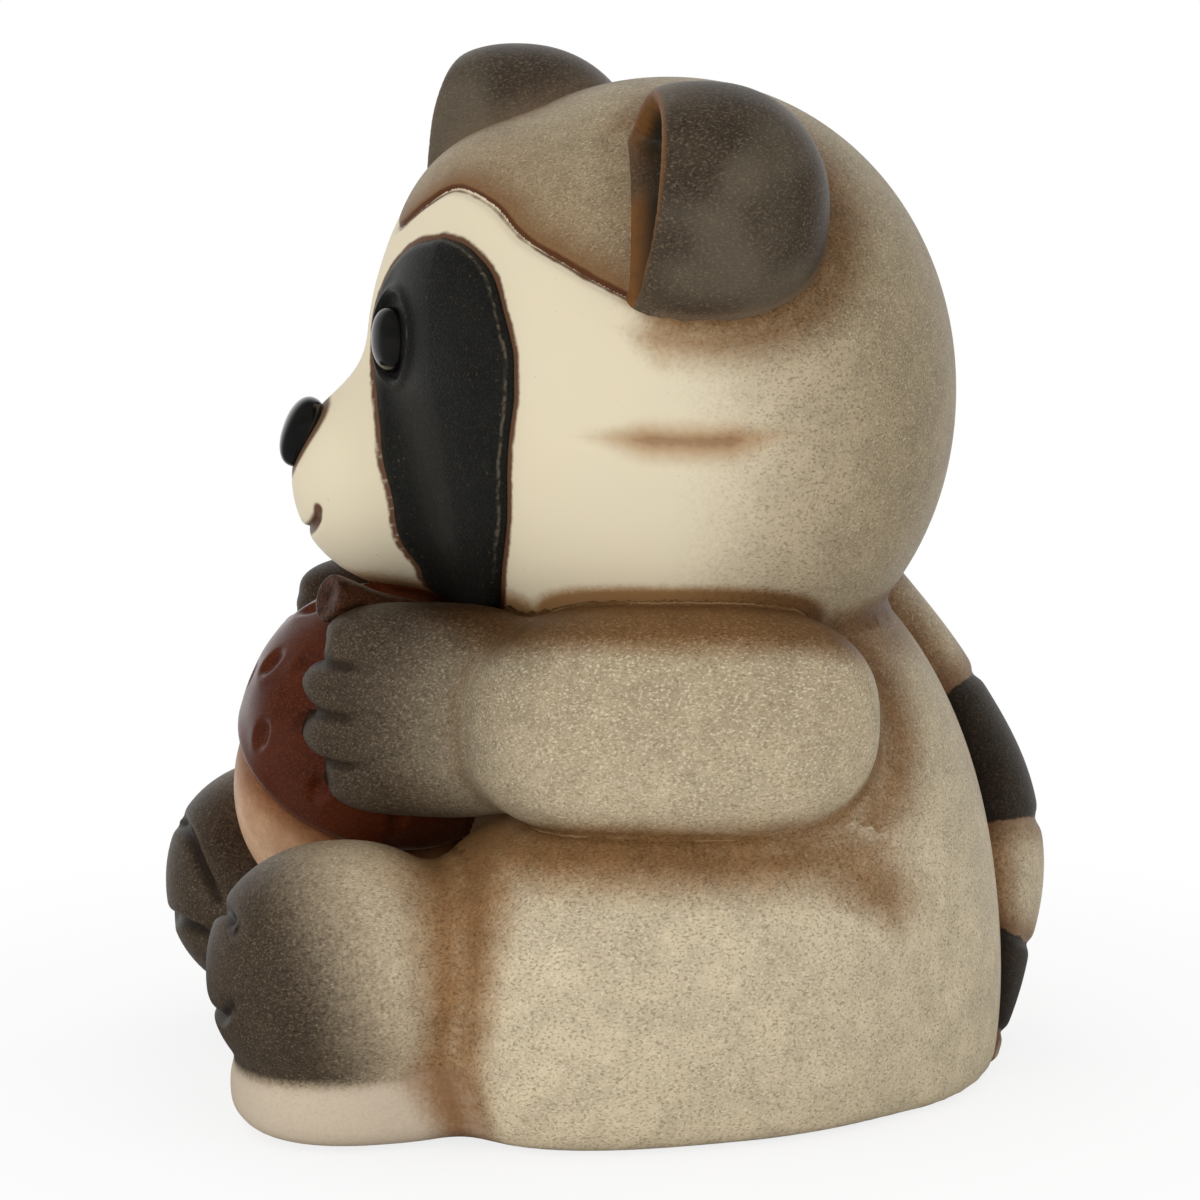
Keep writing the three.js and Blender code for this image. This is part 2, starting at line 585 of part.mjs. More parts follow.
place("body_shell", torsoPiece(), "fur");
place("head_shell", headPiece(), "fur");
place("nose", seated(noseShape(), ...headSeats), "gloss");
for (const side of [LEFT, RIGHT]) {
  const word = side === LEFT ? "left" : "right";
  const half = ownHalf(side);
  const thigh = thighShape(side, 0).intersect(onTable).intersect(half);
  const foot = footShape(side, 0).intersect(onTable).intersect(half);
  const paw = pawShape(side).intersect(half);
  place(`${word}_eye_patch`, seated(patchShape(side, 0), headSeats[0]), "black");
  place(`${word}_eye`, seated(eyeShape(side), patchTop), "gloss");
  place(`${word}_ear`, seated(earShape(side), ...headSeats), "dark");
  place(`${word}_thigh`, seated(thigh, torsoSeat), "fur");
  place(`${word}_foot`, seated(foot, torsoSeat, ...thighSeats), "dark");
  place(`${word}_arm`, seated(armShape(side, 0), torsoSeat, ...headSeats, ...legSeats), "fur");
  place(`${word}_paw`, seated(paw, torsoSeat, ...headSeats, ...limbSeats, ...acornSeats), "dark");
}
place("tail", seated(tailShape().intersect(onTable), torsoSeat, ...headSeats, ...limbSeats), "fur");
place("acorn_nut", seated(nutShape(0).intersect(onTable), torsoSeat, ...headSeats, ...limbSeats), "nut");
place("acorn_cap", seated(capShape(0), torsoSeat, ...headSeats, ...limbSeats, nutSeat), "cap");
place("acorn_stem", seated(stemShape(0), torsoSeat, ...headSeats, ...armSeats, capSeat), "cap");

export default figurine;
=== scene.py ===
import math

import bmesh
import bpy
import numpy as np
from mathutils import Euler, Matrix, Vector


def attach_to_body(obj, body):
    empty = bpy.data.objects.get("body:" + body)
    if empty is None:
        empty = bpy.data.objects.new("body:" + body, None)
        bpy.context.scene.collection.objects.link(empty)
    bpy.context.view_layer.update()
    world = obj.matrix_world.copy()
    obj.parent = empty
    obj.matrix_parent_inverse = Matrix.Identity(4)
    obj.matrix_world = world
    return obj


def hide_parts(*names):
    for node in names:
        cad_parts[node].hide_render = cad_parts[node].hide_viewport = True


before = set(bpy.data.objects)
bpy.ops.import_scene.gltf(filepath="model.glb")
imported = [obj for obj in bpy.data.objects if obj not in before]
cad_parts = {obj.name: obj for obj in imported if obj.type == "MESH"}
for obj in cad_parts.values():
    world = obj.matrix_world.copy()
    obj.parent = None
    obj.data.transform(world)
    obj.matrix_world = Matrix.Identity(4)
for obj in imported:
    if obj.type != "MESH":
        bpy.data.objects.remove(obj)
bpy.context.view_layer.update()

# Torso: the hollow cast egg of glazed earthenware that carries everything else.
# It stands on its flat foot; the limbs are luted to it with slip, and the fur
# glaze is sponged on in fine specks, with a brown wash and painted shade in the joints.
MM = 0.001
TORSO_CENTRE = (0, 12.2, 14.5)
TORSO_SIZES = (63, 53.2, 78)
TORSO_LEAN = 6
TORSO_FULLNESS = 2.2
FOOT_ROUNDING = 2.5
SKIRT_DIP = 0.08
WELD = 1e-7
ROUNDS = 6
FINE_ROUNDS = 7
FARTHEST_SKIN = 75.0
HALVINGS = 26
SLOPE_STEP = 0.05
LEAST_SHARE = 1e-9
LEAST_SLOPE = 1e-12
FAR_FROM_JOINTS = 50.0
JOINT_REACH = 14
SEAT_BLEND = 2.0
FILLET_FILL = 6
LEAST_BEND = 0.04
MERGING_FROM = 0.92
MERGING_SPAN = 0.06
MERGED_GAP = 7
LEVEL_LEAN = 1.1
UPWARD_LEAN = 0.65
DOWNWARD_LEAN = 0.5
SEAM_REACH = 1.6
SEAM_MERGED = 1.5

clay = {}
fired = {}
joints = {}


def turned(angles):
    return np.array(Euler([math.radians(angle) for angle in angles], "XYZ").to_matrix())


def lump(centre, sizes, fullness=2.0, turn=(0, 0, 0)):
    half = np.array(sizes) / 2
    axes = turned(turn)

    def distance(points):
        shares = np.abs((points - np.array(centre)) @ axes / half) + LEAST_SHARE
        radius = (shares ** fullness).sum(axis=1) ** (1 / fullness)
        slopes = (shares / radius[:, None]) ** (fullness - 1) / half
        return (radius - 1) / np.linalg.norm(slopes, axis=1)

    return distance


def melted(a, b, width):
    overlap = np.maximum(width - np.abs(a - b), 0)
    return np.minimum(a, b) - overlap ** 2 / (4 * width)


def trimmed(a, b, width):
    return -melted(-a, -b, width)


def standing(form):
    return lambda points: trimmed(form(points), -points[:, 2], FOOT_ROUNDING)


def reach(form, start, spokes):
    inside = np.zeros(len(spokes))
    outside = np.full(len(spokes), FARTHEST_SKIN)
    for halving in range(HALVINGS):
        middle = (inside + outside) / 2
        within = form(start + spokes * middle[:, None]) < 0
        inside = np.where(within, middle, inside)
        outside = np.where(within, outside, middle)
    return inside


def skin_along(form, start, spokes):
    return start + spokes * reach(form, start, spokes)[:, None]


def unit(rows):
    return rows / np.linalg.norm(rows, axis=1)[:, None]


def corners(verts):
    return np.array([vert.co[:] for vert in verts])


def places_of(soft):
    return corners(soft.verts) / MM


def move_to(soft, places):
    for vert, place in zip(soft.verts, places * MM):
        vert.co = place


def press(centre, form, rounds):
    soft = bmesh.new()
    bmesh.ops.create_icosphere(soft, subdivisions=rounds, radius=1.0)
    move_to(soft, skin_along(form, np.array(centre), unit(corners(soft.verts))))
    return soft


def everywhere(points):
    return np.zeros(len(points))


def seat(carrier, fillet, on_piece=0.0, on_carrier=0.0, fading=everywhere):
    return {"carrier": carrier, "fillet": fillet, "washes": (on_piece, on_carrier), "fading": fading}


def luted(form, seats):
    def filleted(points):
        own = form(points)
        for held in seats:
            width = held["fillet"]
            other = clay[held["carrier"]](points)
            own = np.where(own - other > width, own - width, melted(own, other, width))
        return own + SKIRT_DIP

    return filleted


def slope_of(form, points):
    steps = SLOPE_STEP * np.eye(3)
    slopes = np.column_stack([form(points + ahead) - form(points - ahead) for ahead in steps])
    return slopes / (np.linalg.norm(slopes, axis=1)[:, None] + LEAST_SLOPE)


def alike(form, other, points):
    return (slope_of(form, points) * slope_of(other, points)).sum(axis=1)


def openness(form, other, points):
    return MERGED_GAP * np.clip((alike(form, other, points) - MERGING_FROM) / MERGING_SPAN, 0, 1)


# Painted shade: the joint wash reaches further on faces turned up under an overhang and less far on faces
# turned down, standing for light bounced up from the floor.
def shade_lean_of(form, points):
    upward = slope_of(form, points)[:, 2]
    return LEVEL_LEAN - UPWARD_LEAN * upward - DOWNWARD_LEAN * np.minimum(upward, 0)


def joint_gap(form, held):
    other = clay[held["carrier"]]

    def gap(points):
        nearness = form(points), other(points)
        apart = np.maximum(*nearness)
        near = apart < JOINT_REACH
        gaps = np.full(len(points), FAR_FROM_JOINTS)
        here = points[near]
        own, beyond = nearness[0][near], nearness[1][near]
        across = np.clip((own - beyond - held["fillet"] / 2) / SEAT_BLEND, 0, 1)
        wash = held["washes"][0] + across * (held["washes"][1] - held["washes"][0])
        lean = shade_lean_of(form, here)
        lean += across * (shade_lean_of(other, here) - lean)
        bend = np.sqrt(np.clip(1 - alike(form, other, here) ** 2, LEAST_BEND, 1))
        aside = np.maximum(apart[near] - held["fillet"] / FILLET_FILL, 0) / bend
        gaps[near] = (aside + openness(form, other, here) + held["fading"](here)) * lean - wash
        return gaps

    return gap


def far_off(points):
    return np.full(len(points), FAR_FROM_JOINTS)


def valley_gap(form, carriers):
    def gap(points):
        gaps = [far_off(points)] + [form(points) - clay[carrier](points) for carrier in carriers]
        nearest = np.argmin(np.abs(gaps), axis=0)
        return np.array(gaps)[nearest, np.arange(len(points))]

    return gap


def seam_share(form, carriers):
    def share(points):
        shares = [everywhere(points)]
        for carrier in carriers:
            apart = np.maximum(form(points), clay[carrier](points))
            merged = openness(form, clay[carrier], points)
            shares.append(np.clip(SEAM_REACH - apart, 0, 1) * np.clip(1 - merged / SEAM_MERGED, 0, 1))
        return np.max(shares, axis=0)

    return share


def mesh_points(mesh):
    flat = np.empty(3 * len(mesh.vertices))
    mesh.vertices.foreach_get("co", flat)
    return flat.reshape(-1, 3) / MM


def fire(node, soft, glaze, fields):
    bmesh.ops.remove_doubles(soft, verts=soft.verts, dist=WELD)
    bmesh.ops.recalc_face_normals(soft, faces=soft.faces)
    mesh = bpy.data.meshes.new(node + "_clay")
    soft.to_mesh(mesh)
    soft.free()
    mesh.shade_smooth()
    mesh.materials.append(glaze)
    points = mesh_points(mesh)
    for field, measure in fields.items():
        values = mesh.attributes.new(field, "FLOAT", "POINT")
        values.data.foreach_set("value", measure(points).astype(np.float32))
    piece = bpy.data.objects.new(node + "_fired", mesh)
    bpy.context.scene.collection.objects.link(piece)
    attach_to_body(piece, "root")
    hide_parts(node)
    fired[node] = piece
    return piece


def wash_joint(node, gap):
    mesh = fired[node].data
    values = mesh.attributes["joint"].data
    nearest = np.empty(len(mesh.vertices), np.float32)
    values.foreach_get("value", nearest)
    values.foreach_set("value", np.minimum(nearest, gap(mesh_points(mesh))).astype(np.float32))


def attach(node, centre, form, seats, rounds, glaze, fields, shape=lambda soft: None, lined=()):
    soft = press(centre, standing(luted(form, seats)), rounds)
    shape(soft)
    seams = {"joint": far_off, "valley": valley_gap(form, lined), "seam": seam_share(form, lined)}
    fire(node, soft, glaze, {**seams, **fields})
    clay[node] = form
    carriers = [held["carrier"] for held in seats]
    for pair, gap in joints.items():
        if pair[0] in carriers and pair[1] in carriers:
            wash_joint(node, gap)
    for held in seats:
        gap = joint_gap(form, held)
        joints[node, held["carrier"]] = gap
        wash_joint(node, gap)
        wash_joint(held["carrier"], gap)


def shade(red, green, blue):
    levels = [level / 255 for level in (red, green, blue)]
    return tuple(c / 12.92 if c < 0.04045 else ((c + 0.055) / 1.055) ** 2.4 for c in levels) + (1.0,)


def add(tree, kind, inputs, **settings):
    node = tree.nodes.new(kind)
    for name, value in settings.items():
        setattr(node, name, value)
    for name, value in inputs.items():
        socket = node.inputs[name]
        if isinstance(value, bpy.types.NodeSocket):
            tree.links.new(value, socket)
        else:
            socket.default_value = value
    return node


def overlay(tree, share, under, over, mode="MIX"):
    inputs = {0: share, 6: under, 7: over}
    return add(tree, "ShaderNodeMix", inputs, data_type="RGBA", blend_type=mode).outputs[2]


def blend(tree, share, first, second):
    return add(tree, "ShaderNodeMix", {0: share, 2: first, 3: second}, data_type="FLOAT").outputs[0]


def ramp(tree, value, start, end, low=0.0, high=1.0):
    inputs = {"Value": value, "From Min": start, "From Max": end, "To Min": low, "To Max": high}
    return add(tree, "ShaderNodeMapRange", inputs, interpolation_type="SMOOTHSTEP").outputs[0]


def fade(tree, value, start, end, strength=1.0):
    return ramp(tree, value, start, end, strength, 0.0)


def combined(tree, operation, first, second):
    return add(tree, "ShaderNodeMath", {0: first, 1: second}, operation=operation).outputs[0]


def plus(tree, first, second):
    return combined(tree, "ADD", first, second)


def times(tree, first, second):
    return combined(tree, "MULTIPLY", first, second)


def rest_of(tree, share):
    return combined(tree, "SUBTRACT", 1.0, share)


def grain(tree, scale, detail=2.0, roughness=0.55, stretch=(1, 1, 1), turn=(0, 0, 0), shift=(0, 0, 0)):
    place = add(tree, "ShaderNodeTexCoord", {}).outputs["Object"]
    angles = [math.radians(angle) for angle in turn]
    laying = {"Vector": place, "Location": shift, "Rotation": angles, "Scale": stretch}
    laid = add(tree, "ShaderNodeMapping", laying).outputs[0]
    inputs = {"Vector": laid, "Scale": scale, "Detail": detail, "Roughness": roughness}
    return add(tree, "ShaderNodeTexNoise", inputs).outputs[0]


def wander(tree, scale, swing, detail=3.0, roughness=0.6):
    noise = combined(tree, "SUBTRACT", grain(tree, scale, detail, roughness), 0.5)
    return times(tree, noise, swing)


def field_of(tree, name):
    return add(tree, "ShaderNodeAttribute", {}, attribute_name=name).outputs["Fac"]


def frayed(tree, name, *spray):
    return plus(tree, field_of(tree, name), wander(tree, *spray))


def recipe(name, takes, gives):
    group = bpy.data.node_groups.new(name, "ShaderNodeTree")
    for label in takes:
        group.interface.new_socket(label, in_out="INPUT", socket_type="NodeSocketColor")
    for label, kind in gives.items():
        group.interface.new_socket(label, in_out="OUTPUT", socket_type=kind)
    return group, group.nodes.new("NodeGroupInput").outputs, group.nodes.new("NodeGroupOutput").inputs


def poured(tree, group, inputs):
    return add(tree, "ShaderNodeGroup", inputs, node_tree=group).outputs


PALE_SPECK_SCALE = 5000
DARK_SPECK_SCALE = 4500
PALE_SPECK_STRETCH = (1, 0.6, 1)
DARK_SPECK_STRETCH = (1, 0.62, 1)
PALE_SPECK_TURN = (14, 0, 8)
DARK_SPECK_TURN = (-10, 0, -6)
DARK_SPECK_SHIFT = (0.03, 0.01, 0.02)
SPECK_DETAIL = (2.0, 0.6)
SPECK_EDGES = (0.5, 0.68)
PALE_SPECK_STRENGTH = 0.7
DARK_SPECK_STRENGTH = 0.62
CLOUD_GRAIN = (260, 3.0)
MOTTLE_SCALE = 1100
CLOUD_EDGES = (0.3, 0.7)
CLOUD_LEVELS = (0.9, 1.1)
MOTTLE_LEVELS = (0.94, 1.06)

sponged, takes, gives = recipe(
    "sponged_specks",
    ["Ground", "Pale Specks", "Dark Specks"],
    {"Color": "NodeSocketColor", "Relief": "NodeSocketFloat"},
)
pale_laying = (PALE_SPECK_STRETCH, PALE_SPECK_TURN)
dark_laying = (DARK_SPECK_STRETCH, DARK_SPECK_TURN, DARK_SPECK_SHIFT)
pale_grain = grain(sponged, PALE_SPECK_SCALE, *SPECK_DETAIL, *pale_laying)
dark_grain = grain(sponged, DARK_SPECK_SCALE, *SPECK_DETAIL, *dark_laying)
cloud = ramp(sponged, grain(sponged, *CLOUD_GRAIN), *CLOUD_EDGES, *CLOUD_LEVELS)
mottle = ramp(sponged, grain(sponged, MOTTLE_SCALE), *CLOUD_EDGES, *MOTTLE_LEVELS)
cloud = times(sponged, cloud, mottle)
scaling = {0: takes["Ground"], "Scale": cloud}
clouded = add(sponged, "ShaderNodeVectorMath", scaling, operation="SCALE").outputs[0]
pale_spots = ramp(sponged, pale_grain, *SPECK_EDGES, high=PALE_SPECK_STRENGTH)
dark_spots = ramp(sponged, dark_grain, *SPECK_EDGES, high=DARK_SPECK_STRENGTH)
with_pale = overlay(sponged, pale_spots, clouded, takes["Pale Specks"])
sponged.links.new(overlay(sponged, dark_spots, with_pale, takes["Dark Specks"]), gives["Color"])
sponged.links.new(combined(sponged, "SUBTRACT", pale_spots, dark_spots), gives["Relief"])

WASH_EDGES = (0.3, 6.0)
WASH_STRENGTH = 0.92
DEEP_SHADE_EDGES = (0.0, 2.4)
DEEP_SHADE_STRENGTH = 0.45
SEAM_EDGES = (0.04, 0.2)
SEAM_STRENGTH = 0.5
SEAM_BREAKS = (0.36, 0.6)
SEAM_BREAK_GRAIN = (210, 3.0)
SEAM_RUN = (300, 0.7)
WASH_RUN = (420, 1.6)
WASH_SPRAY = (2400, 2.6)

# Joint wash: a brown wash in the joints, partly the glaze's own brown and partly painted shade, darkest in
# the crease.
washed, takes, gives = recipe(
    "joint_wash_and_shade",
    ["Color", "Wash", "Deep Shade", "Seam"],
    {"Color": "NodeSocketColor"},
)
gap_here = field_of(washed, "joint")
ragged = plus(washed, wander(washed, *WASH_RUN), wander(washed, *WASH_SPRAY))
ragged_gap = plus(washed, gap_here, ragged)
soft_wash_and_shade = fade(washed, ragged_gap, *WASH_EDGES, WASH_STRENGTH)
deep_shade = fade(washed, ragged_gap, *DEEP_SHADE_EDGES, DEEP_SHADE_STRENGTH)
broken = ramp(washed, grain(washed, *SEAM_BREAK_GRAIN), *SEAM_BREAKS)
valley = frayed(washed, "valley", *SEAM_RUN)
valley = combined(washed, "ABSOLUTE", valley, 0.0)
seam = times(washed, fade(washed, valley, *SEAM_EDGES, SEAM_STRENGTH), broken)
seam = times(washed, seam, field_of(washed, "seam"))
once = overlay(washed, soft_wash_and_shade, takes["Color"], takes["Wash"], "MULTIPLY")
twice = overlay(washed, deep_shade, once, takes["Deep Shade"], "MULTIPLY")
washed.links.new(overlay(washed, seam, twice, takes["Seam"]), gives["Color"])

FUR_GROUND = shade(163, 147, 118)
FUR_LOW_AND_FLOOR_LIT = shade(199, 184, 155)
FUR_PALE = shade(224, 211, 184)
FUR_DARK = shade(126, 109, 81)
# The wash tint is brown wash and painted shade; the deep tint is a near-grey painted shade right in the
# crease.
WASH_BROWN = shade(116, 79, 41)
WASH_AND_SHADE_TINT = shade(178, 139, 96)
DEEP_SHADE_TINT = shade(205, 192, 178)
SEAM_PALE = shade(180, 154, 116)
LOW_FUR_TOP = 0.014
HIGH_FUR_START = 0.052
COAT_SMOOTHNESS = 0.6
RELIEF_HEIGHT = 0.00012


def satin(name, roughness, coat=0.0, shine=0.2):
    glaze = bpy.data.materials.new(name)
    glaze.use_nodes = True
    shader = glaze.node_tree.nodes["Principled BSDF"]
    shader.inputs["Roughness"].default_value = roughness
    shader.inputs["Specular IOR Level"].default_value = shine
    shader.inputs["Coat Weight"].default_value = coat
    shader.inputs["Coat Roughness"].default_value = COAT_SMOOTHNESS * roughness
    return glaze, glaze.node_tree, shader


def relief(tree, shader, height, strength=0.25):
    inputs = {"Height": height, "Strength": strength, "Distance": RELIEF_HEIGHT}
    bump = add(tree, "ShaderNodeBump", inputs)
    tree.links.new(bump.outputs[0], shader.inputs["Normal"])


def specked(tree, ground, pale, dark):
    return poured(tree, sponged, {"Ground": ground, "Pale Specks": pale, "Dark Specks": dark})


# The fur ground is lighter towards the foot: partly the sponged glaze, partly painted light bounced from the
# white floor.
def fur_coat(tree):
    place = add(tree, "ShaderNodeTexCoord", {}).outputs["Object"]
    height = add(tree, "ShaderNodeSeparateXYZ", {"Vector": place}).outputs["Z"]
    ground = overlay(tree, ramp(tree, height, LOW_FUR_TOP, HIGH_FUR_START), FUR_LOW_AND_FLOOR_LIT, FUR_GROUND)
    return specked(tree, ground, FUR_PALE, FUR_DARK)


def washed_and_shaded_coat(tree, colour):
    washes = {"Wash": WASH_AND_SHADE_TINT, "Deep Shade": DEEP_SHADE_TINT, "Seam": SEAM_PALE}
    return poured(tree, washed, {"Color": colour, **washes})["Color"]


def paint(tree, shader, colour):
    tree.links.new(colour, shader.inputs["Base Color"])


fur_glaze, tree, shader = satin("fur_glaze", roughness=0.48)
fur = fur_coat(tree)
paint(tree, shader, washed_and_shaded_coat(tree, fur["Color"]))
relief(tree, shader, fur["Relief"])

torso_form = lump(TORSO_CENTRE, TORSO_SIZES, TORSO_FULLNESS, (TORSO_LEAN, 0, 0))
attach("body_shell", TORSO_CENTRE, torso_form, [], ROUNDS, fur_glaze, {})

# Thighs: solid pressed haunches of the same clay on either side of the torso.
# Each is luted on with a wide smoothed fillet and stands on its own flat edge.
# A seat's numbers are its fillet, then how far the brown wash and painted shade run on the piece and on its
# carrier.
THIGH_CENTRE = (20, 1.5, 12)
THIGH_SIZES = (34, 48, 38)
LIMB_FULLNESS = 2.6
THIGH_TURN = 5
THIGH_ON_BODY = (3.5, -1.0, -1.0)
REAR_FADE_START = 9
REAR_FADE_RUN = 6
REAR_FADE_TOP = 22
REAR_FADE_DROP = 12
REAR_FADE_GAP = 9
SIDES = {"left": 1, "right": -1}


def flipped(points, side):
    return points * np.array([side, 1, 1])


def sided(form, side):
    return lambda points: form(flipped(points, side))


def on_side(place, side):
    return (side * place[0], place[1], place[2])


def low_rear(points):
    behind = np.clip((points[:, 1] - REAR_FADE_START) / REAR_FADE_RUN, 0, 1)
    return REAR_FADE_GAP * behind * np.clip((REAR_FADE_TOP - points[:, 2]) / REAR_FADE_DROP, 0, 1)


for word, side in SIDES.items():
    thigh_form = lump(THIGH_CENTRE, THIGH_SIZES, LIMB_FULLNESS, (0, 0, THIGH_TURN))
    seats = [seat("body_shell", *THIGH_ON_BODY, low_rear)]
    centre = on_side(THIGH_CENTRE, side)
    attach(word + "_thigh", centre, sided(thigh_form, side), seats, ROUNDS, fur_glaze, {})

# Feet: upright balls of clay toes over a flat heel, luted to the front of the thighs.
# Two creases part three toes, and the dark glaze is airbrushed over the toes alone.
TOE_SIZES = (24.5, 25.6, 24.4)
TOE_FULLNESS = 2.15
TOE_TURN = 10
HEEL_SIZES = (23, 25.2, 14)
HEEL_FULLNESS = 2.4
HEEL_TURN = 4
HEEL_MELT = 1.5
TOE_PLACES = {"left": (19.5, -28.8, 15.2), "right": (19.5, -27.5, 15.2)}
HEEL_PLACES = {"left": (18.5, -26.6, 4), "right": (18.5, -17.6, 4)}
UPPER_CREASE = [(4.5, -11.3, 5.8), (0, -11.2, 6.2), (-4.5, -11, 5.2), (-8.6, -8.6, 0.4)]
LOWER_CREASE = [(5.5, -11.3, -1.4), (2, -12.4, -3.6), (-3, -12.2, -3.2), (-7.8, -9, -3.6)]
TOE_CUT = (0.75, 1.0)
CREASE_TAPER = 2.0
CARVE_REACH = 3.0
TOE_EDGE_BACK = 2.0
TOE_EDGE_SLANT = 0.3
TOE_EDGE_GRADE = 8
TOE_EDGE_DROP = 0.2
TOE_DEPTH_LIMIT = 20
HEEL_GRADE = 3
FOOT_ON_BODY = (2.0, -1.5, 0.0)
FOOT_ON_THIGH = (3.5, -0.4, 2.2)
HEEL_EDGES = (0.0, 3.0)
TOE_GLOW = (-11.0, -1.0)
TOE_EDGES = (-7.0, 5.0)
TOE_CREASE_EDGES = (0.15, 1.1)
HEEL_SPRAY = (700, 2.0)
TOE_SPRAY = (2300, 7.0, 3.0, 0.7)
DARK_GROUND = shade(66, 54, 41)
DARK_PALE = shade(112, 97, 76)
DARK_DEEP = shade(38, 30, 21)
CREASE_DARK = shade(38, 28, 19)
HEEL_PALE = shade(198, 182, 162)


def through(points, steps=16):
    knots = np.array(points, float)
    knots = np.vstack([2 * knots[0] - knots[1], knots, 2 * knots[-1] - knots[-2]])
    part = np.linspace(0, 1, steps, endpoint=False)[:, None]
    stretch = []
    for a, b, c, d in zip(knots, knots[1:], knots[2:], knots[3:]):
        bend = 2 * b + (c - a) * part + (2 * a - 5 * b + 4 * c - d) * part ** 2
        stretch.append((bend + (3 * b - a - 3 * c + d) * part ** 3) / 2)
    return np.vstack(stretch + [knots[-2:-1]])


def from_curve(points, curve):
    starts = curve[:-1]
    runs = curve[1:] - starts
    nearest = np.full(len(points), np.inf)
    for start, run in zip(starts, runs):
        along = np.clip((points - start) @ run / (run @ run), 0, 1)
        nearest = np.minimum(nearest, np.linalg.norm(points - start - along[:, None] * run, axis=1))
    return nearest


def skin_gap(points, curve, form):
    return np.sqrt(np.maximum(from_curve(points, curve) ** 2 - form(points) ** 2, 0))


def end_fade(points, curve, taper):
    ends = [np.linalg.norm(points - end, axis=1) for end in (curve[0], curve[-1])]
    return np.clip(np.minimum(*ends) / taper, 0, 1)


def carve(soft, curve, width, depth, cuts=2, taper=0.01):
    for cut in range(cuts):
        near = from_curve(places_of(soft), curve) < CARVE_REACH * width
        edges = [edge for edge in soft.edges if near[edge.verts[0].index] and near[edge.verts[1].index]]
        bmesh.ops.subdivide_edges(soft, edges=edges, cuts=1, use_grid_fill=True)
        bmesh.ops.triangulate(soft, faces=[face for face in soft.faces if len(face.verts) > 3])
        soft.verts.index_update()
    soft.normal_update()
    normals = np.array([vert.normal[:] for vert in soft.verts])
    places = places_of(soft)
    sink = depth * np.exp(-(from_curve(places, curve) / width) ** 2) * end_fade(places, curve, taper)
    move_to(soft, places - normals * sink[:, None])


def dark_coat(tree):
    return specked(tree, DARK_GROUND, DARK_PALE, DARK_DEEP)


foot_glaze, tree, shader = satin("toe_glaze", roughness=0.45)
fur = fur_coat(tree)
dark = dark_coat(tree)
heel_here = frayed(tree, "heel", *HEEL_SPRAY)
heel_share = ramp(tree, heel_here, *HEEL_EDGES, high=0.8)
pale_foot = overlay(tree, heel_share, fur["Color"], HEEL_PALE)
toe_depth = frayed(tree, "toe", *TOE_SPRAY)
pale_foot = overlay(tree, ramp(tree, toe_depth, *TOE_GLOW, high=0.3), pale_foot, WASH_BROWN)
foot_colour = overlay(tree, ramp(tree, toe_depth, *TOE_EDGES), pale_foot, dark["Color"])
crease_share = fade(tree, field_of(tree, "crease"), *TOE_CREASE_EDGES, 0.85)
paint(tree, shader, washed_and_shaded_coat(tree, overlay(tree, crease_share, foot_colour, CREASE_DARK)))
relief(tree, shader, fur["Relief"])


def add_foot(word, side):
    toes = lump(TOE_PLACES[word], TOE_SIZES, TOE_FULLNESS, (0, 0, TOE_TURN))
    heel = lump(HEEL_PLACES[word], HEEL_SIZES, HEEL_FULLNESS, (0, 0, HEEL_TURN))

    def foot_form(points):
        return melted(toes(points), heel(points), HEEL_MELT)

    form = sided(foot_form, side)
    toe_centre = np.array(TOE_PLACES[word])
    creases = []
    for crease in (UPPER_CREASE, LOWER_CREASE):
        on_toes = skin_along(foot_form, toe_centre, unit(through(crease)))
        creases.append(flipped(on_toes, side))

    def part_toes(soft):
        for crease in creases:
            carve(soft, crease, *TOE_CUT, taper=CREASE_TAPER)

    def toe_depth_at(points):
        own = flipped(points, side)
        forward = toe_centre[1] - TOE_EDGE_BACK - own[:, 1] - TOE_EDGE_SLANT * (own[:, 2] - toe_centre[2])
        off_heel = -TOE_EDGE_GRADE * (toes(own) - heel(own) - TOE_EDGE_DROP)
        return np.minimum(forward, np.clip(off_heel, -TOE_DEPTH_LIMIT, TOE_DEPTH_LIMIT))

    def heel_depth(points):
        own = flipped(points, side)
        return HEEL_GRADE * (toes(own) - heel(own))

    def toe_gap(points):
        return np.min([skin_gap(points, crease, form) for crease in creases], axis=0)

    seats = [seat("body_shell", *FOOT_ON_BODY), seat(word + "_thigh", *FOOT_ON_THIGH)]
    start = on_side((toe_centre + np.array(HEEL_PLACES[word])) / 2, side)
    fields = {"toe": toe_depth_at, "heel": heel_depth, "crease": toe_gap}
    attach(word + "_foot", start, form, seats, ROUNDS, foot_glaze, fields, part_toes)


for word, side in SIDES.items():
    add_foot(word, side)

# Head: a hollow cast skull, with the face, a ridge between the eyes and the muzzle run into it.
# It is socketed over the neck. The cream face is bounded by a scored brown line and fades by
# airbrush on the cheeks; a wrinkle is scored across each cheek and the mouth is a short cut.
HEAD_CENTRE = (0, 7.2, 66.6)
HEAD_TURN = -4.5
SKULL_CENTRE = (0, -0.4, 0)
SKULL_SIZES = (62, 55.4, 60.2)
SKULL_FULLNESS = 2.05
FACE_CENTRE = (0, -16.3, 11)
FACE_SIZES = (34, 21.8, 27.8)
FACE_MELT = 4
BRIDGE_CENTRE = (0, -20, 3)
BRIDGE_SIZES = (10, 18.6, 27)
BRIDGE_MELT = 4
MUZZLE_CENTRE = (0, -24.9, -8.2)
MUZZLE_SIZES = (19.2, 24.4, 22)
MUZZLE_MELT = 4
BROW_BEARINGS = (0, 4.4, 13.9, 22.6, 36.3, 47.5, 58.8, 67.9, 75.7, 90, 110)
BROW_HEIGHTS = (16.0, 16.4, 18.9, 20.6, 19.5, 16.9, 15.0, 13.2, 11.7, 9.5, 8.0)
SCORED_BEARING = 78
SCORED_PAST = 3
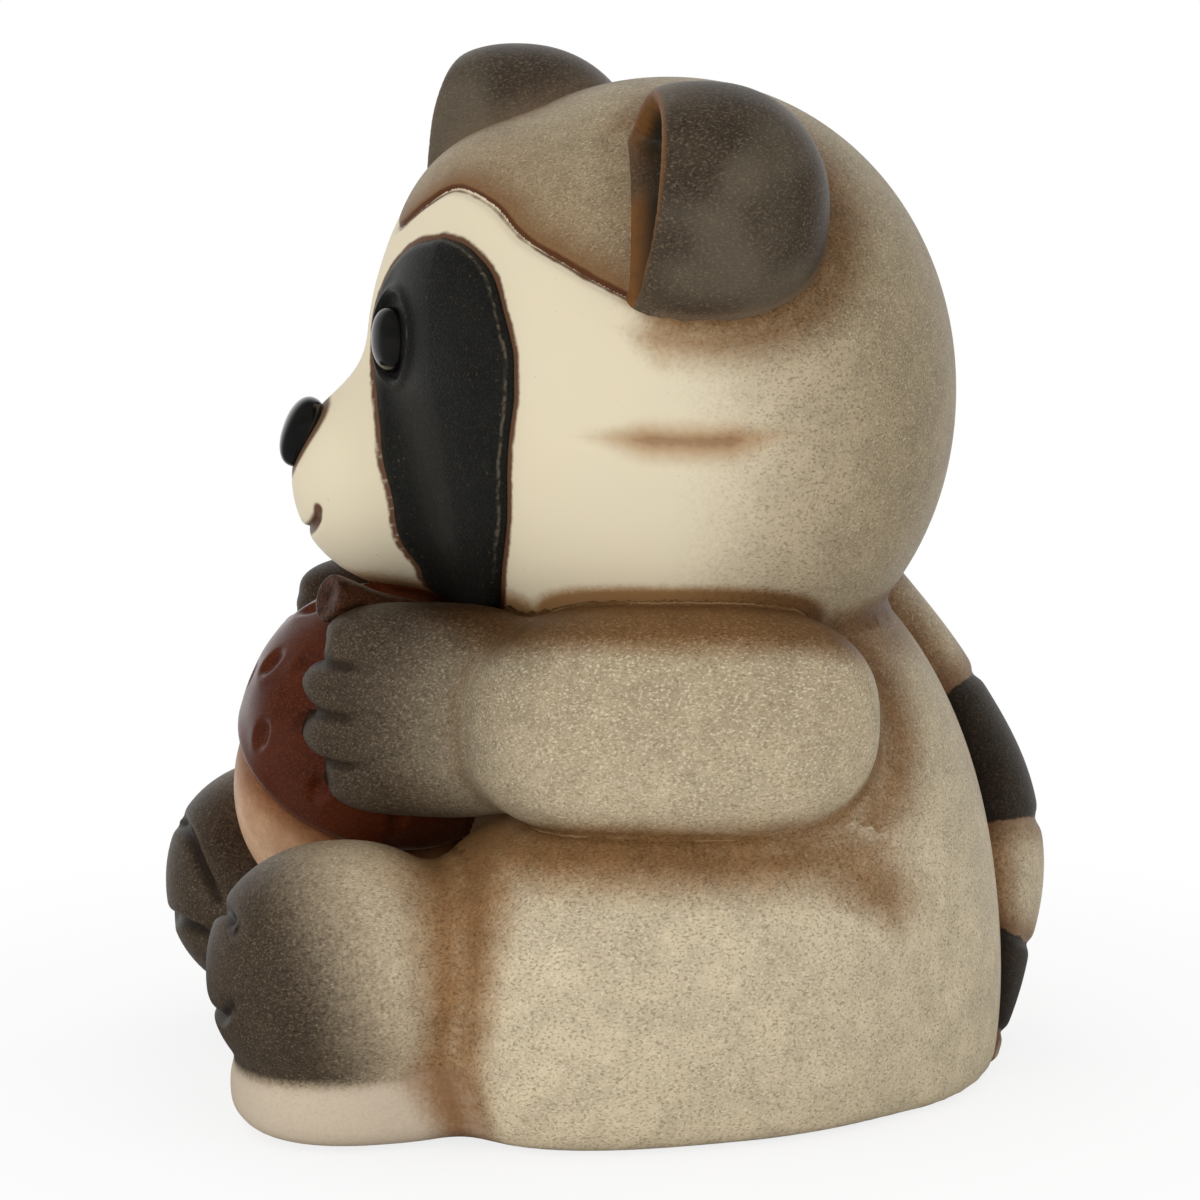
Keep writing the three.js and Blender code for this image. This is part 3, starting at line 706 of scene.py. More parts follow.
SCORED_FADE = 9
BROW_CUT = (0.55, 0.4)
WRINKLE_BEARINGS = (64, 76, 90, 105)
WRINKLE_HEIGHTS = (-0.5, -0.7, -0.9, -0.1)
WRINKLE_TAPER = 7.0
WRINKLE_CUT = (0.75, 0.75)
WRINKLE_END_GAP = 2.5
CHEEK_LEVEL = -3
CHEEK_CURVE = 0.12
MOUTH = [(-5.0, -10.4), (-4.4, -11.4), (-2.8, -12.5), (0, -13.2), (2.8, -12.5), (4.4, -11.4), (5.0, -10.4)]
MOUTH_CUT = (0.5, 0.6)
MOUTH_TAPER = 1.5
PATCH_OUTLINE = [
    (12.1, 16.3), (14.3, 16), (16.2, 15.2), (19, 13), (22.6, 7.9), (23.7, 4.2), (23.8, 0.5), (22.5, -7.1),
    (20.1, -12.2), (15.6, -17.6), (12, -19.7), (7.4, -20.4), (4, -19.4), (6, -17.3), (7.8, -15), (9.4, -8.9),
    (8.2, -3.3), (6.1, 0.2), (3.8, 2.7), (2.2, 4.8), (1.7, 7.4), (2.4, 10.4), (4.4, 13.2), (8, 15.3),
]
PATCH_NUDGES = {"left": 0.0, "right": 3.4}
PATCH_NUDGE_REACH = 12
PATCH_STEPS = 8
HEAD_FILLET = 2.0
NOSE_SIZES = (5, 3.8, 7)
NOSE_FULLNESS = 2.2
NOSE_HEIGHT = -3.6
NOSE_TILT = -20
NOSE_TAPER = 0.3
NOSE_LINE_REACH = 5
CREAM = shade(219, 207, 179)
CREAM_WARM = shade(220, 204, 173)
CREAM_SPECK = shade(120, 96, 66)
LINE_BROWN = shade(84, 46, 20)
WRINKLE_BROWN = shade(162, 114, 60)
CROWN_GROUND = shade(152, 136, 107)
CHEEK_GROUND = shade(186, 170, 142)
CROWN_PALE = shade(196, 181, 152)
CROWN_DARK = shade(108, 92, 65)
CROWN_FADE = (4.0, 20.0)
ABOVE_BROW_FADE = (-3.0, 6.0)
CHEEK_EDGES = (-4.5, 9.0)
SOFT_BROW_EDGES = (-3.0, 5.0)
SHARP_BROW_EDGES = (-0.08, 0.08)
BROW_GLOW = (-4.4, 0.2)
BROW_HAZE = (-14.0, -1.0)
BROW_LINE_SHIFT = 0.25
BROW_LINE = (0.25, 0.55)
WRINKLE_GLOW = (0.1, 2.8)
WRINKLE_LINE = (0.1, 0.6)
MOUTH_LINE = (0.4, 0.8)
PATCH_LINE = (0.35, 0.72)
NOSE_LINE = (0.6, 1.2)
CREAM_CLOUD_GRAIN = (160, 3.0)
CREAM_SPECK_GRAIN = (1700, 2.0)
CREAM_SPECK_EDGES = (0.74, 0.78)
CHEEK_SPRAY = (2300, 9.0, 3.0, 0.7)
BROW_SPRAY = (2300, 4.0)
BROW_RUN = (2400, 1.2)
WRINKLE_RUN = (900, 0.9)
PATCH_LINE_RUN = (1100, 0.3, 2.0)
BRUSH_WOBBLE = (500, 0.7)
BROW_LINE_WOBBLE = 0.5
PATCH_LINE_WOBBLE = 0.4
NOSE_LINE_WOBBLE = 0.6

head_axes = turned((0, 0, HEAD_TURN))


def into_head(points):
    return (points - np.array(HEAD_CENTRE)) @ head_axes


def out_of_head(points):
    return np.array(points) @ head_axes.T + np.array(HEAD_CENTRE)


skull = lump(SKULL_CENTRE, SKULL_SIZES, SKULL_FULLNESS)
face = lump(FACE_CENTRE, FACE_SIZES)
bridge = lump(BRIDGE_CENTRE, BRIDGE_SIZES)
muzzle = lump(MUZZLE_CENTRE, MUZZLE_SIZES)


def head_local(points):
    brow = melted(melted(skull(points), face(points), FACE_MELT), bridge(points), BRIDGE_MELT)
    return melted(brow, muzzle(points), MUZZLE_MELT)


def round_head(bearings, heights):
    angles = np.radians(bearings)
    starts = np.column_stack([np.zeros((len(angles), 2)), heights])
    spokes = np.column_stack([np.sin(angles), -np.cos(angles), np.zeros(len(angles))])
    return skin_along(head_local, starts, spokes)


def before_face(across, heights):
    starts = np.column_stack([across, np.zeros(len(across)), heights])
    spokes = np.tile([0.0, -1.0, 0.0], (len(starts), 1))
    return skin_along(head_local, starts, spokes)


brow_knots = through(np.column_stack([BROW_BEARINGS, BROW_HEIGHTS]))
brow_left = round_head(brow_knots[:, 0], brow_knots[:, 1])
scored_brow = brow_left[brow_knots[:, 0] < SCORED_BEARING]
brow_curve = np.vstack([flipped(scored_brow[:0:-1], -1), scored_brow])
wrinkle_knots = through(np.column_stack([WRINKLE_BEARINGS, WRINKLE_HEIGHTS]))
wrinkle_curve = round_head(wrinkle_knots[:, 0], wrinkle_knots[:, 1])
mouth_knots = through(MOUTH)
mouth_curve = before_face(mouth_knots[:, 0], mouth_knots[:, 1])
patch_edges = {}
patch_curves = {}
for word, nudge in PATCH_NUDGES.items():
    edge = through(PATCH_OUTLINE + PATCH_OUTLINE[:1], PATCH_STEPS)
    edge[:, 0] += nudge * np.clip(1 - edge[:, 0] / PATCH_NUDGE_REACH, 0, 1)
    patch_edges[word] = edge
    patch_curves[word] = before_face(edge[:, 0], edge[:, 1])


def left_of_head(points):
    own = into_head(points)
    own[:, 0] = np.abs(own[:, 0])
    return own


def bearing_of(own):
    return np.degrees(np.arctan2(own[:, 0], -own[:, 1]))


def scored_share(points):
    bearings = bearing_of(left_of_head(points))
    return np.clip((SCORED_BEARING + SCORED_PAST - bearings) / SCORED_FADE, 0, 1)


def brow_side(points):
    own = left_of_head(points)
    below = np.interp(bearing_of(own), brow_knots[:, 0], brow_knots[:, 1]) - own[:, 2]
    near = skin_gap(own, brow_left, head_local)
    return np.where(below > 0, near, -near)


def cheek_fade(points):
    own = left_of_head(points)
    return own[:, 1] + CHEEK_CURVE * np.abs(own[:, 2] - CHEEK_LEVEL)


def wrinkle_gap(points):
    own = left_of_head(points)
    ended = 1 - end_fade(own, wrinkle_curve, WRINKLE_TAPER)
    return skin_gap(own, wrinkle_curve, head_local) + WRINKLE_END_GAP * ended


def mouth_gap(points):
    return skin_gap(into_head(points), mouth_curve, head_local)


def patch_gap(points):
    own = into_head(points)
    gaps = [from_curve(flipped(own, side), patch_curves[word]) for word, side in SIDES.items()]
    return np.minimum(*gaps)


def score_face(soft):
    carve(soft, out_of_head(brow_curve), *BROW_CUT)
    for side in SIDES.values():
        carve(soft, out_of_head(flipped(wrinkle_curve, side)), *WRINKLE_CUT, taper=WRINKLE_TAPER)
    carve(soft, out_of_head(mouth_curve), *MOUTH_CUT, taper=MOUTH_TAPER)


face_glaze, tree, shader = satin("face_glaze", roughness=0.45)
back_share = ramp(tree, field_of(tree, "cheek"), *CROWN_FADE)
above_share = fade(tree, field_of(tree, "brow"), *ABOVE_BROW_FADE)
back_share = combined(tree, "MAXIMUM", back_share, above_share)
crown = overlay(tree, back_share, CHEEK_GROUND, CROWN_GROUND)
fur = specked(tree, crown, CROWN_PALE, CROWN_DARK)
cream_cloud = ramp(tree, grain(tree, *CREAM_CLOUD_GRAIN), *CLOUD_EDGES, high=0.2)
cream = overlay(tree, cream_cloud, CREAM, CREAM_WARM)
cream_spots = ramp(tree, grain(tree, *CREAM_SPECK_GRAIN), *CREAM_SPECK_EDGES, high=0.4)
cream = overlay(tree, cream_spots, cream, CREAM_SPECK)
cheek_run = frayed(tree, "cheek", *CHEEK_SPRAY)
cheek = ramp(tree, cheek_run, *CHEEK_EDGES)
wobble = wander(tree, *BRUSH_WOBBLE)
brow_here = field_of(tree, "brow")
scored = field_of(tree, "scored")
soft_brow = ramp(tree, plus(tree, brow_here, wander(tree, *BROW_SPRAY)), *SOFT_BROW_EDGES)
inside_brow = blend(tree, scored, soft_brow, ramp(tree, brow_here, *SHARP_BROW_EDGES))
face_share = times(tree, inside_brow, rest_of(tree, cheek))
colour = overlay(tree, face_share, fur["Color"], cream)
brow_run = plus(tree, brow_here, plus(tree, wobble, wander(tree, *BROW_RUN)))
near_brow = ramp(tree, brow_run, *BROW_GLOW, high=0.65)
near_brow = plus(tree, near_brow, ramp(tree, brow_run, *BROW_HAZE, high=0.3))
above_brow = times(tree, near_brow, scored)
above_brow = times(tree, above_brow, rest_of(tree, inside_brow))
colour = overlay(tree, above_brow, colour, WASH_BROWN)
line_gap = combined(tree, "ABSOLUTE", plus(tree, brow_here, BROW_LINE_SHIFT), 0.0)
line_gap = plus(tree, line_gap, times(tree, wobble, BROW_LINE_WOBBLE))
line_share = times(tree, fade(tree, line_gap, *BROW_LINE, 0.95), scored)
colour = overlay(tree, line_share, colour, LINE_BROWN)
wrinkle_here = frayed(tree, "wrinkle", *WRINKLE_RUN)
colour = overlay(tree, fade(tree, wrinkle_here, *WRINKLE_GLOW, 0.7), colour, WRINKLE_BROWN)
colour = overlay(tree, fade(tree, wrinkle_here, *WRINKLE_LINE, 0.28), colour, LINE_BROWN)
colour = overlay(tree, fade(tree, field_of(tree, "mouth"), *MOUTH_LINE, 0.95), colour, LINE_BROWN)
edge_wobble = times(tree, wobble, PATCH_LINE_WOBBLE)
edge_run = plus(tree, edge_wobble, wander(tree, *PATCH_LINE_RUN))
edge_gap = plus(tree, field_of(tree, "patch"), edge_run)
colour = overlay(tree, fade(tree, edge_gap, *PATCH_LINE, 0.95), colour, LINE_BROWN)
nose_wobble = times(tree, wobble, NOSE_LINE_WOBBLE)
nose_gap = plus(tree, field_of(tree, "nose"), nose_wobble)
colour = overlay(tree, fade(tree, nose_gap, *NOSE_LINE, 0.9), colour, LINE_BROWN)
paint(tree, shader, washed_and_shaded_coat(tree, colour))
relief(tree, shader, times(tree, fur["Relief"], rest_of(tree, face_share)))


def head_form(points):
    return head_local(into_head(points))


nose_seat = before_face(np.array([0.0]), np.array([NOSE_HEIGHT]))[0]
nose_block = lump(nose_seat, NOSE_SIZES, NOSE_FULLNESS, (NOSE_TILT, 0, 0))


def nose_local(points):
    rise = np.clip((points[:, 2] - nose_seat[2]) / (NOSE_SIZES[2] / 2), -1, 1)
    narrowed = points.copy()
    narrowed[:, 0] = narrowed[:, 0] / (1 + NOSE_TAPER * rise)
    return nose_block(narrowed)


def nose_gap_at(points):
    return np.clip(nose_local(into_head(points)), 0, NOSE_LINE_REACH)


fields = {
    "brow": brow_side, "scored": scored_share, "cheek": cheek_fade, "wrinkle": wrinkle_gap,
    "mouth": mouth_gap, "patch": patch_gap, "nose": nose_gap_at,
}
seats = [seat("body_shell", HEAD_FILLET)]
attach("head_shell", HEAD_CENTRE, head_form, seats, FINE_ROUNDS, face_glaze, fields, score_face)

# Eye patches: thin slabs of clay under satin black glaze, luted over the face with rounded edges.
# A raised ring round the eye makes a shallow socket, and a pale highlight is painted along the rear edge.
PATCH_RISE = 1.15
PATCH_FRONT_RISE = 0.35
PATCH_EDGE = 1.3
PATCH_BACK = 1.0
PATCH_BURY = 0.35
PATCH_BREADTH_CUTS = 96
PATCH_HEIGHT_CUTS = 150
PATCH_FRONT_GRADE = 1.6
PATCH_MARGIN = 0.9
PATCH_WELD = 2e-6
PATCH_LEAST_EDGE = 1e-6
EYE_SPREAD = 6.4
EYE_LIFT = 6.0
EYE_FACING = 22
EYE_NUDGES = {"left": 0.0, "right": 2.2}
RING_SPREAD = 7.5
RING_LIFT = 6.4
RING_WIDTH = 9.0
RING_HEIGHT = 8.8
RING_RISE = 0.4
RING_BREADTH = 0.5
SOCKET_DEPTH = 0.45
SOCKET_WALL = 0.12
MASK_GROUND = shade(27, 27, 24)
MASK_PALE = shade(44, 42, 37)
MASK_DARK = shade(16, 16, 15)
DUST_BROWN = shade(104, 82, 60)
DUST_EDGES = (0.67, 0.74)
HIGHLIGHT_PALE = shade(118, 106, 88)
HIGHLIGHT_OUTER = (0.85, 1.1)
HIGHLIGHT_INNER = (1.1, 1.4)
HIGHLIGHT_GRAIN = (500, 2.0)
HIGHLIGHT_SWING = 0.5
HIGHLIGHT_BREAK_GRAIN = (1500, 3.0)
HIGHLIGHT_BREAKS = (0.4, 0.6, 0.1, 0.5)
DUST_GRAIN = (3000, 2.0, 0.5)
HIGHLIGHT_ASIDE = 12
HIGHLIGHT_ASIDE_RUN = 5
HIGHLIGHT_LOW = -16
HIGHLIGHT_LOW_RUN = 6

eye_facing = math.radians(EYE_FACING)
eye_across = np.array([math.cos(eye_facing), math.sin(eye_facing), 0])
eye_out = np.array([math.sin(eye_facing), -math.cos(eye_facing), 0])
eye_seats = {}
ring_seats = {}
for word, nudge in EYE_NUDGES.items():
    across = np.array([EYE_SPREAD, RING_SPREAD]) + nudge
    eye_seats[word], ring_seats[word] = before_face(across, np.array([EYE_LIFT, RING_LIFT]))


def ring_share(points, ring_seat):
    off = points - ring_seat
    return np.hypot(off @ eye_across / (RING_WIDTH / 2), off[:, 2] / (RING_HEIGHT / 2))


def patch_slab(outline, curve, ring_seat):
    top_knot = np.argmax(outline[:, 1])
    low_knot = np.argmin(outline[:, 1])
    rear_edge = outline[top_knot:low_knot + 1]
    front_edge = np.vstack([outline[low_knot:], outline[:top_knot + 1]])
    soft = bmesh.new()
    bmesh.ops.create_grid(soft, x_segments=PATCH_BREADTH_CUTS, y_segments=PATCH_HEIGHT_CUTS, size=1.0)
    grid = corners(soft.verts)
    across = (np.sin(grid[:, 0] * math.pi / 2) + 1) / 2
    upward = (np.sin(grid[:, 1] * math.pi / 2) + 1) / 2
    heights = outline[low_knot, 1] + upward * (outline[top_knot, 1] - outline[low_knot, 1])
    rear = np.interp(-heights, -rear_edge[:, 1], rear_edge[:, 0])
    front = np.interp(heights, front_edge[:, 1], front_edge[:, 0])
    places = before_face(front + across * (rear - front), heights)
    edge_gap = from_curve(places, curve)
    rounding = np.sqrt(1 - (1 - np.clip(edge_gap / PATCH_EDGE, 0, 1)) ** 2)
    ring = ring_share(places, ring_seat)
    ridge = RING_RISE * np.exp(-((ring - 1) * RING_HEIGHT / 2 / RING_BREADTH) ** 2)
    socket = SOCKET_DEPTH * np.clip((1 - ring) / SOCKET_WALL, 0, 1)
    rise = PATCH_FRONT_RISE + (PATCH_RISE - PATCH_FRONT_RISE) * np.clip(PATCH_FRONT_GRADE * across, 0, 1)
    within = np.clip(edge_gap / PATCH_MARGIN, 0, 1)
    lift = (rise + PATCH_BURY) * rounding - PATCH_BURY + (ridge - socket) * within
    move_to(soft, places + slope_of(head_local, places) * lift[:, None])
    bmesh.ops.remove_doubles(soft, verts=soft.verts, dist=PATCH_WELD)
    bmesh.ops.dissolve_degenerate(soft, edges=soft.edges, dist=PATCH_LEAST_EDGE)
    soft.normal_update()
    back = bmesh.ops.extrude_face_region(soft, geom=soft.faces[:], use_keep_orig=True)
    sunk = [item for item in back["geom"] if isinstance(item, bmesh.types.BMVert)]
    under = corners(sunk) / MM
    under -= slope_of(head_local, under) * PATCH_BACK
    for vert, place in zip(sunk, under * MM):
        vert.co = place
    return soft


mask_glaze, tree, shader = satin("mask_glaze", roughness=0.4, shine=0.16)
mask = specked(tree, MASK_GROUND, MASK_PALE, MASK_DARK)
dust = ramp(tree, grain(tree, *DUST_GRAIN), *DUST_EDGES, high=0.5)
colour = overlay(tree, dust, mask["Color"], DUST_BROWN)
# Painted highlight: a broken pale line just inside the rear edge, where the rounded edge would catch the
# light.
highlight_run = times(tree, grain(tree, *HIGHLIGHT_GRAIN), HIGHLIGHT_SWING)
highlight_edge = plus(tree, field_of(tree, "edge"), highlight_run)
highlight_inner = fade(tree, highlight_edge, *HIGHLIGHT_INNER)
painted_highlight = times(tree, ramp(tree, highlight_edge, *HIGHLIGHT_OUTER), highlight_inner)
painted_highlight = times(tree, painted_highlight, ramp(tree, grain(tree, *HIGHLIGHT_BREAK_GRAIN), *HIGHLIGHT_BREAKS))
painted_highlight = times(tree, painted_highlight, field_of(tree, "rear"))
colour = overlay(tree, painted_highlight, colour, HIGHLIGHT_PALE)
paint(tree, shader, colour)
relief(tree, shader, mask["Relief"], strength=0.3)


# Where the painted highlight lies: the rear of the patch, above its low end.
def highlight_side(points):
    own = left_of_head(points)
    aside = np.clip((own[:, 0] - HIGHLIGHT_ASIDE) / HIGHLIGHT_ASIDE_RUN, 0, 1)
    return aside * np.clip((own[:, 2] - HIGHLIGHT_LOW) / HIGHLIGHT_LOW_RUN, 0, 1)


for word, side in SIDES.items():
    soft = patch_slab(patch_edges[word], patch_curves[word], ring_seats[word])
    move_to(soft, out_of_head(flipped(places_of(soft), side)))
    fire(word + "_eye_patch", soft, mask_glaze, {"edge": patch_gap, "rear": highlight_side})

# Eyes: small clay domes under glossy black glaze, pressed into the sockets of the patches.
# The glaze is thick and clear, so each dome takes a sharp reflection.
EYE_SIZES = (5.4, 3.2, 6.3)
EYE_SINKS = {"left": 0.0, "right": 0.5}
EYE_FULLNESS = 2.2
EYE_ROUNDS = 5
GLOSS_BLACK = shade(10, 10, 10)
GLOSS_THIN = shade(20, 18, 16)
GLOSS_GRAIN = (420, 2.0)
GLOSS_EDGES = (0.35, 0.65)

gloss_glaze, tree, shader = satin("gloss_glaze", roughness=0.16, coat=0.25, shine=0.4)
depth = ramp(tree, grain(tree, *GLOSS_GRAIN), *GLOSS_EDGES)
paint(tree, shader, overlay(tree, depth, GLOSS_BLACK, GLOSS_THIN))

for word, side in SIDES.items():
    eye_place = eye_seats[word] + eye_out * (PATCH_FRONT_RISE - EYE_SINKS[word])
    dome = lump(eye_place, EYE_SIZES, EYE_FULLNESS, (0, 0, EYE_FACING))
    soft = press(on_side(eye_place, side), sided(dome, side), EYE_ROUNDS)
    move_to(soft, out_of_head(places_of(soft)))
    fire(word + "_eye", soft, gloss_glaze, {})

# Nose: a rounded wedge of clay under the same glossy glaze on the muzzle, wider at its top.
# It is pressed on with slip, and the brown line brushed round it runs on to the muzzle.
soft = press(nose_seat, nose_local, ROUNDS)
move_to(soft, out_of_head(places_of(soft)))
fire("nose", soft, gloss_glaze, {})

# Ears: pinched cups of clay luted high on the skull, their fronts cut flat and hollowed.
# Outside they have the dark speckled glaze; the cut rim and the hollow are wiped to brown, with painted
# shade darkening the hollow as it deepens.
EAR_SIZES = (21.6, 24, 23.6)
EAR_FULLNESS = 2.2
EAR_TILT = 18
EAR_SPLAYS = {"left": 49, "right": 40}
EAR_ADVANCES = {"left": 1.5, "right": 26}
EAR_FACINGS = {"left": 2, "right": -28}
EAR_FACE_TILTS = {"left": 8.5, "right": 1}
EAR_SINK = 0.8
EAR_FACE = 6.3
EAR_RIM = 2.3
EAR_HOLLOW_DEPTH = 6
EAR_EDGE = 0.7
EAR_FACE_SKIN = 0.2
EAR_BOWL_FULLNESS = 2.4
EAR_DIGS = np.linspace(0.05, 1, 20)
EAR_DIG_STRIDE = 0.06
EAR_WALL = 0.3
EAR_RIM_BAND = 1.6
EAR_STROKES = 4
EAR_STROKE = 0.5
EAR_HOLLOW_MARGIN = 1.02
EAR_MEDIAL_RUN = 3
EAR_MEDIAL_TOP = 5
EAR_MEDIAL_DROP = 4
EAR_FRONT_GAP = 7
EAR_FRONT_START = 0.4
EAR_ON_HEAD = (0.3, -0.8, 0.2)
EAR_BARE = shade(116, 106, 88)
EAR_FOOT_BROWN = shade(122, 99, 76)
HOLLOW_BROWN = shade(112, 72, 32)
HOLLOW_SHADE = shade(44, 38, 26)
HOLLOW_STREAK = shade(74, 50, 26)
HOLLOW_SHADE_EDGES = (0.2, 2.2)
EAR_FRONT_EDGES = (-0.8, -0.3)
EAR_FOOT_EDGES = (-0.2, 3.4)
EAR_FOOT_SPRAY = (2400, 2.0)
EAR_BARE_GRAIN = (105, 1.0, 0.4)
EAR_BARE_EDGES = (0.42, 0.66)
HOLLOW_STREAK_GRAIN = (900, 3.0)
HOLLOW_STREAK_EDGES = (0.45, 0.7)

ear_glaze, tree, shader = satin("ear_glaze", roughness=0.42, shine=0.25)
dark = dark_coat(tree)
bare = ramp(tree, grain(tree, *EAR_BARE_GRAIN), *EAR_BARE_EDGES, high=0.42)
thin_glaze = overlay(tree, bare, dark["Color"], EAR_BARE)
# Painted shade: the brown hollow darkens with its depth.
inner = overlay(tree, ramp(tree, field_of(tree, "hollow"), *HOLLOW_SHADE_EDGES), HOLLOW_BROWN, HOLLOW_SHADE)
inner = overlay(tree, field_of(tree, "medial"), inner, thin_glaze)
streaks = ramp(tree, grain(tree, *HOLLOW_STREAK_GRAIN), *HOLLOW_STREAK_EDGES, high=0.3)
inner = overlay(tree, streaks, inner, HOLLOW_STREAK)
front_here = ramp(tree, field_of(tree, "front"), *EAR_FRONT_EDGES)
foot_gap = frayed(tree, "joint", *EAR_FOOT_SPRAY)
outer = overlay(tree, fade(tree, foot_gap, *EAR_FOOT_EDGES, 0.6), thin_glaze, EAR_FOOT_BROWN)
paint(tree, shader, overlay(tree, front_here, outer, inner))
relief(tree, shader, dark["Relief"])


def add_ear(word, side):
    splay = math.radians(EAR_SPLAYS[word])
    advance = math.radians(EAR_ADVANCES[word])
    facing = math.radians(EAR_FACINGS[word])
    level = math.cos(advance)
    out = np.array([side * math.sin(splay) * level, -math.sin(advance), math.cos(splay) * level])
    skin = reach(head_local, np.zeros(3), out[None])[0]
    ear_centre = out * (skin - EAR_SINK)
    dome = lump(ear_centre, EAR_SIZES, EAR_FULLNESS, (0, side * EAR_TILT, EAR_FACINGS[word]))
    tilt = math.radians(EAR_FACE_TILTS[word])
    ear_ahead = np.array([math.sin(facing), -math.cos(facing), 0])
    face_out = ear_ahead * math.cos(tilt) + np.array([0, 0, math.sin(tilt)])
    face_at = ear_centre + ear_ahead * EAR_FACE
    ear_axes = turned((0, side * EAR_TILT, EAR_FACINGS[word]))

    def ahead_of_face(points):
        return (into_head(points) - face_at) @ face_out

    def ear_form(points):
        return trimmed(dome(into_head(points)), ahead_of_face(points), EAR_EDGE)

    def hollow_share(points):
        off = (into_head(points) - face_at) @ ear_axes
        breadth = EAR_SIZES[0] / 2 - EAR_RIM
        height = EAR_SIZES[2] / 2 - EAR_RIM
        return np.hypot(off[:, 0] / breadth, off[:, 2] / height)

    def hollow_out(soft):
        places = places_of(soft)
        flat = ahead_of_face(places) > -EAR_FACE_SKIN
        bowl = np.sqrt(np.clip(1 - hollow_share(places) ** EAR_BOWL_FULLNESS, 0, 1))
        bowl = np.where(flat, bowl, 0)
        inward = -EAR_HOLLOW_DEPTH * bowl[:, None] * (head_axes @ face_out)
        dug = np.zeros(len(places))
        for depth in EAR_DIGS:
            clear = clay["head_shell"](places + depth * inward) > EAR_WALL
            dug = np.where(clear & (dug > depth - EAR_DIG_STRIDE), depth, dug)
        move_to(soft, places + dug[:, None] * inward)
        fronts = ahead_of_face(places_of(soft))
        rim = [vert for vert, front in zip(soft.verts, fronts) if front > -EAR_RIM_BAND]
        every_way = {"use_axis_x": True, "use_axis_y": True, "use_axis_z": True}
        for stroke in range(EAR_STROKES):
            bmesh.ops.smooth_vert(soft, verts=rim, factor=EAR_STROKE, **every_way)

    def hollow_depth(points):
        return np.where(hollow_share(points) < 1, np.maximum(-ahead_of_face(points), 0), 0)

    def front_share(points):
        ahead = ahead_of_face(points)
        in_hollow = (hollow_share(points) < EAR_HOLLOW_MARGIN) & (ahead > -EAR_HOLLOW_DEPTH - EAR_WALL)
        return np.where(in_hollow, 1.0, ahead)

    def medial_share(points):
        off = (into_head(points) - face_at) @ ear_axes
        inward = np.clip(-side * off[:, 0] / EAR_MEDIAL_RUN, 0, 1)
        return inward * np.clip((EAR_MEDIAL_TOP - off[:, 2]) / EAR_MEDIAL_DROP, 0, 1)

    def before_ear(points):
        return EAR_FRONT_GAP * np.clip(ahead_of_face(points) / EAR_FRONT_GAP + EAR_FRONT_START, 0, 1)

    fields = {"front": front_share, "hollow": hollow_depth, "medial": medial_share}
    seats = [seat("head_shell", *EAR_ON_HEAD, before_ear)]
    centre = out_of_head(ear_centre)
    attach(word + "_ear", centre, ear_form, seats, ROUNDS, ear_glaze, fields, hollow_out)


for word, side in SIDES.items():
    add_ear(word, side)

# Arms: fat rolls of clay laid along the flanks, under the head and over the thighs.
# They are luted to torso, thighs and head, and the brown wash stays in the long joints.
ARM_CENTRE = (25, 1.4, 38.8)
ARM_SIZES = (19, 39.2, 22.4)
ARM_TURN = -8
ARM_ON_BODY = (2.5, -0.8, 1.4)
ARM_ON_THIGH = (0.6, 0.5, 1.0)
ARM_UNDER_HEAD = (0.6, 3.0, -1.6)
WRIST_HALF_HEIGHT = 4
WRIST_CURVE = 0.9
WRIST_EDGES = (2.0, 14.0)
WRIST_SPRAY = (3200, 6.0, 3.0, 0.7)
PAW_PLACES = {"left": (15.2, -18.4, 38.8), "right": (15.2, -16.9, 38.8)}
PAW_TURN = -20

paw_turn = math.radians(PAW_TURN)
paw_ahead = np.array([math.sin(paw_turn), -math.cos(paw_turn), 0])


def behind_paw(word):
    def depth(points):
        off = np.array(PAW_PLACES[word]) - flipped(points, SIDES[word])
        return off @ paw_ahead - WRIST_CURVE * np.maximum(np.abs(off[:, 2]) - WRIST_HALF_HEIGHT, 0)

    return depth


def wrist_run(tree):
    return frayed(tree, "wrist", *WRIST_SPRAY)


arm_glaze, tree, shader = satin("arm_glaze", roughness=0.48)
fur = fur_coat(tree)
dark = dark_coat(tree)
colour = overlay(tree, fade(tree, wrist_run(tree), *WRIST_EDGES, 0.55), fur["Color"], dark["Color"])
paint(tree, shader, washed_and_shaded_coat(tree, colour))
relief(tree, shader, fur["Relief"])

for word, side in SIDES.items():
    arm_form = sided(lump(ARM_CENTRE, ARM_SIZES, LIMB_FULLNESS, (0, 0, ARM_TURN)), side)
    carriers = (word + "_thigh", "head_shell")
    seats = [seat("body_shell", *ARM_ON_BODY), seat(carriers[0], *ARM_ON_THIGH)]
    seats += [seat(carriers[1], *ARM_UNDER_HEAD)]
    centre = on_side(ARM_CENTRE, side)
    fields = {"wrist": behind_paw(word)}
    attach(word + "_arm", centre, arm_form, seats, ROUNDS, arm_glaze, fields, lined=carriers)

# Tail: a thick oval roll of clay luted up the back and leaning to the right, with a round tip.
# Its rings stand out as soft swellings, parted by scored grooves and glazed light and dark.
TAIL_BACK = 38.8
TAIL_WIDTH = 20
TAIL_THICKNESS = 16.4
TAIL_HEIGHTS = (-16.4, 0, 18, 31, 43)
TAIL_SINKS = (15.8, 7.6, 1.4, 5.4, 14)
TAIL_ROOT_SIDE = 3
TAIL_TIP_SIDE = -10
RING_LIMITS = (3.8, 11.5, 20.6, 32.1)
RING_SWELL = 0.2
RING_GROOVE = 0.4
RING_GROOVE_BREADTH = 0.6
RING_START = -10
RING_INSET = 0.2
TAIL_STEPS = 40
TAIL_LOOK = 0.5
TAIL_ROOT_LOOK = 1
TAIL_COARSE_STRIDE = 4
TAIL_FINE_STRIDE = 2
TAIL_ROUND_CUTS = 96
TAIL_LONG_CUTS = 260
TIP_BARE = 0.05
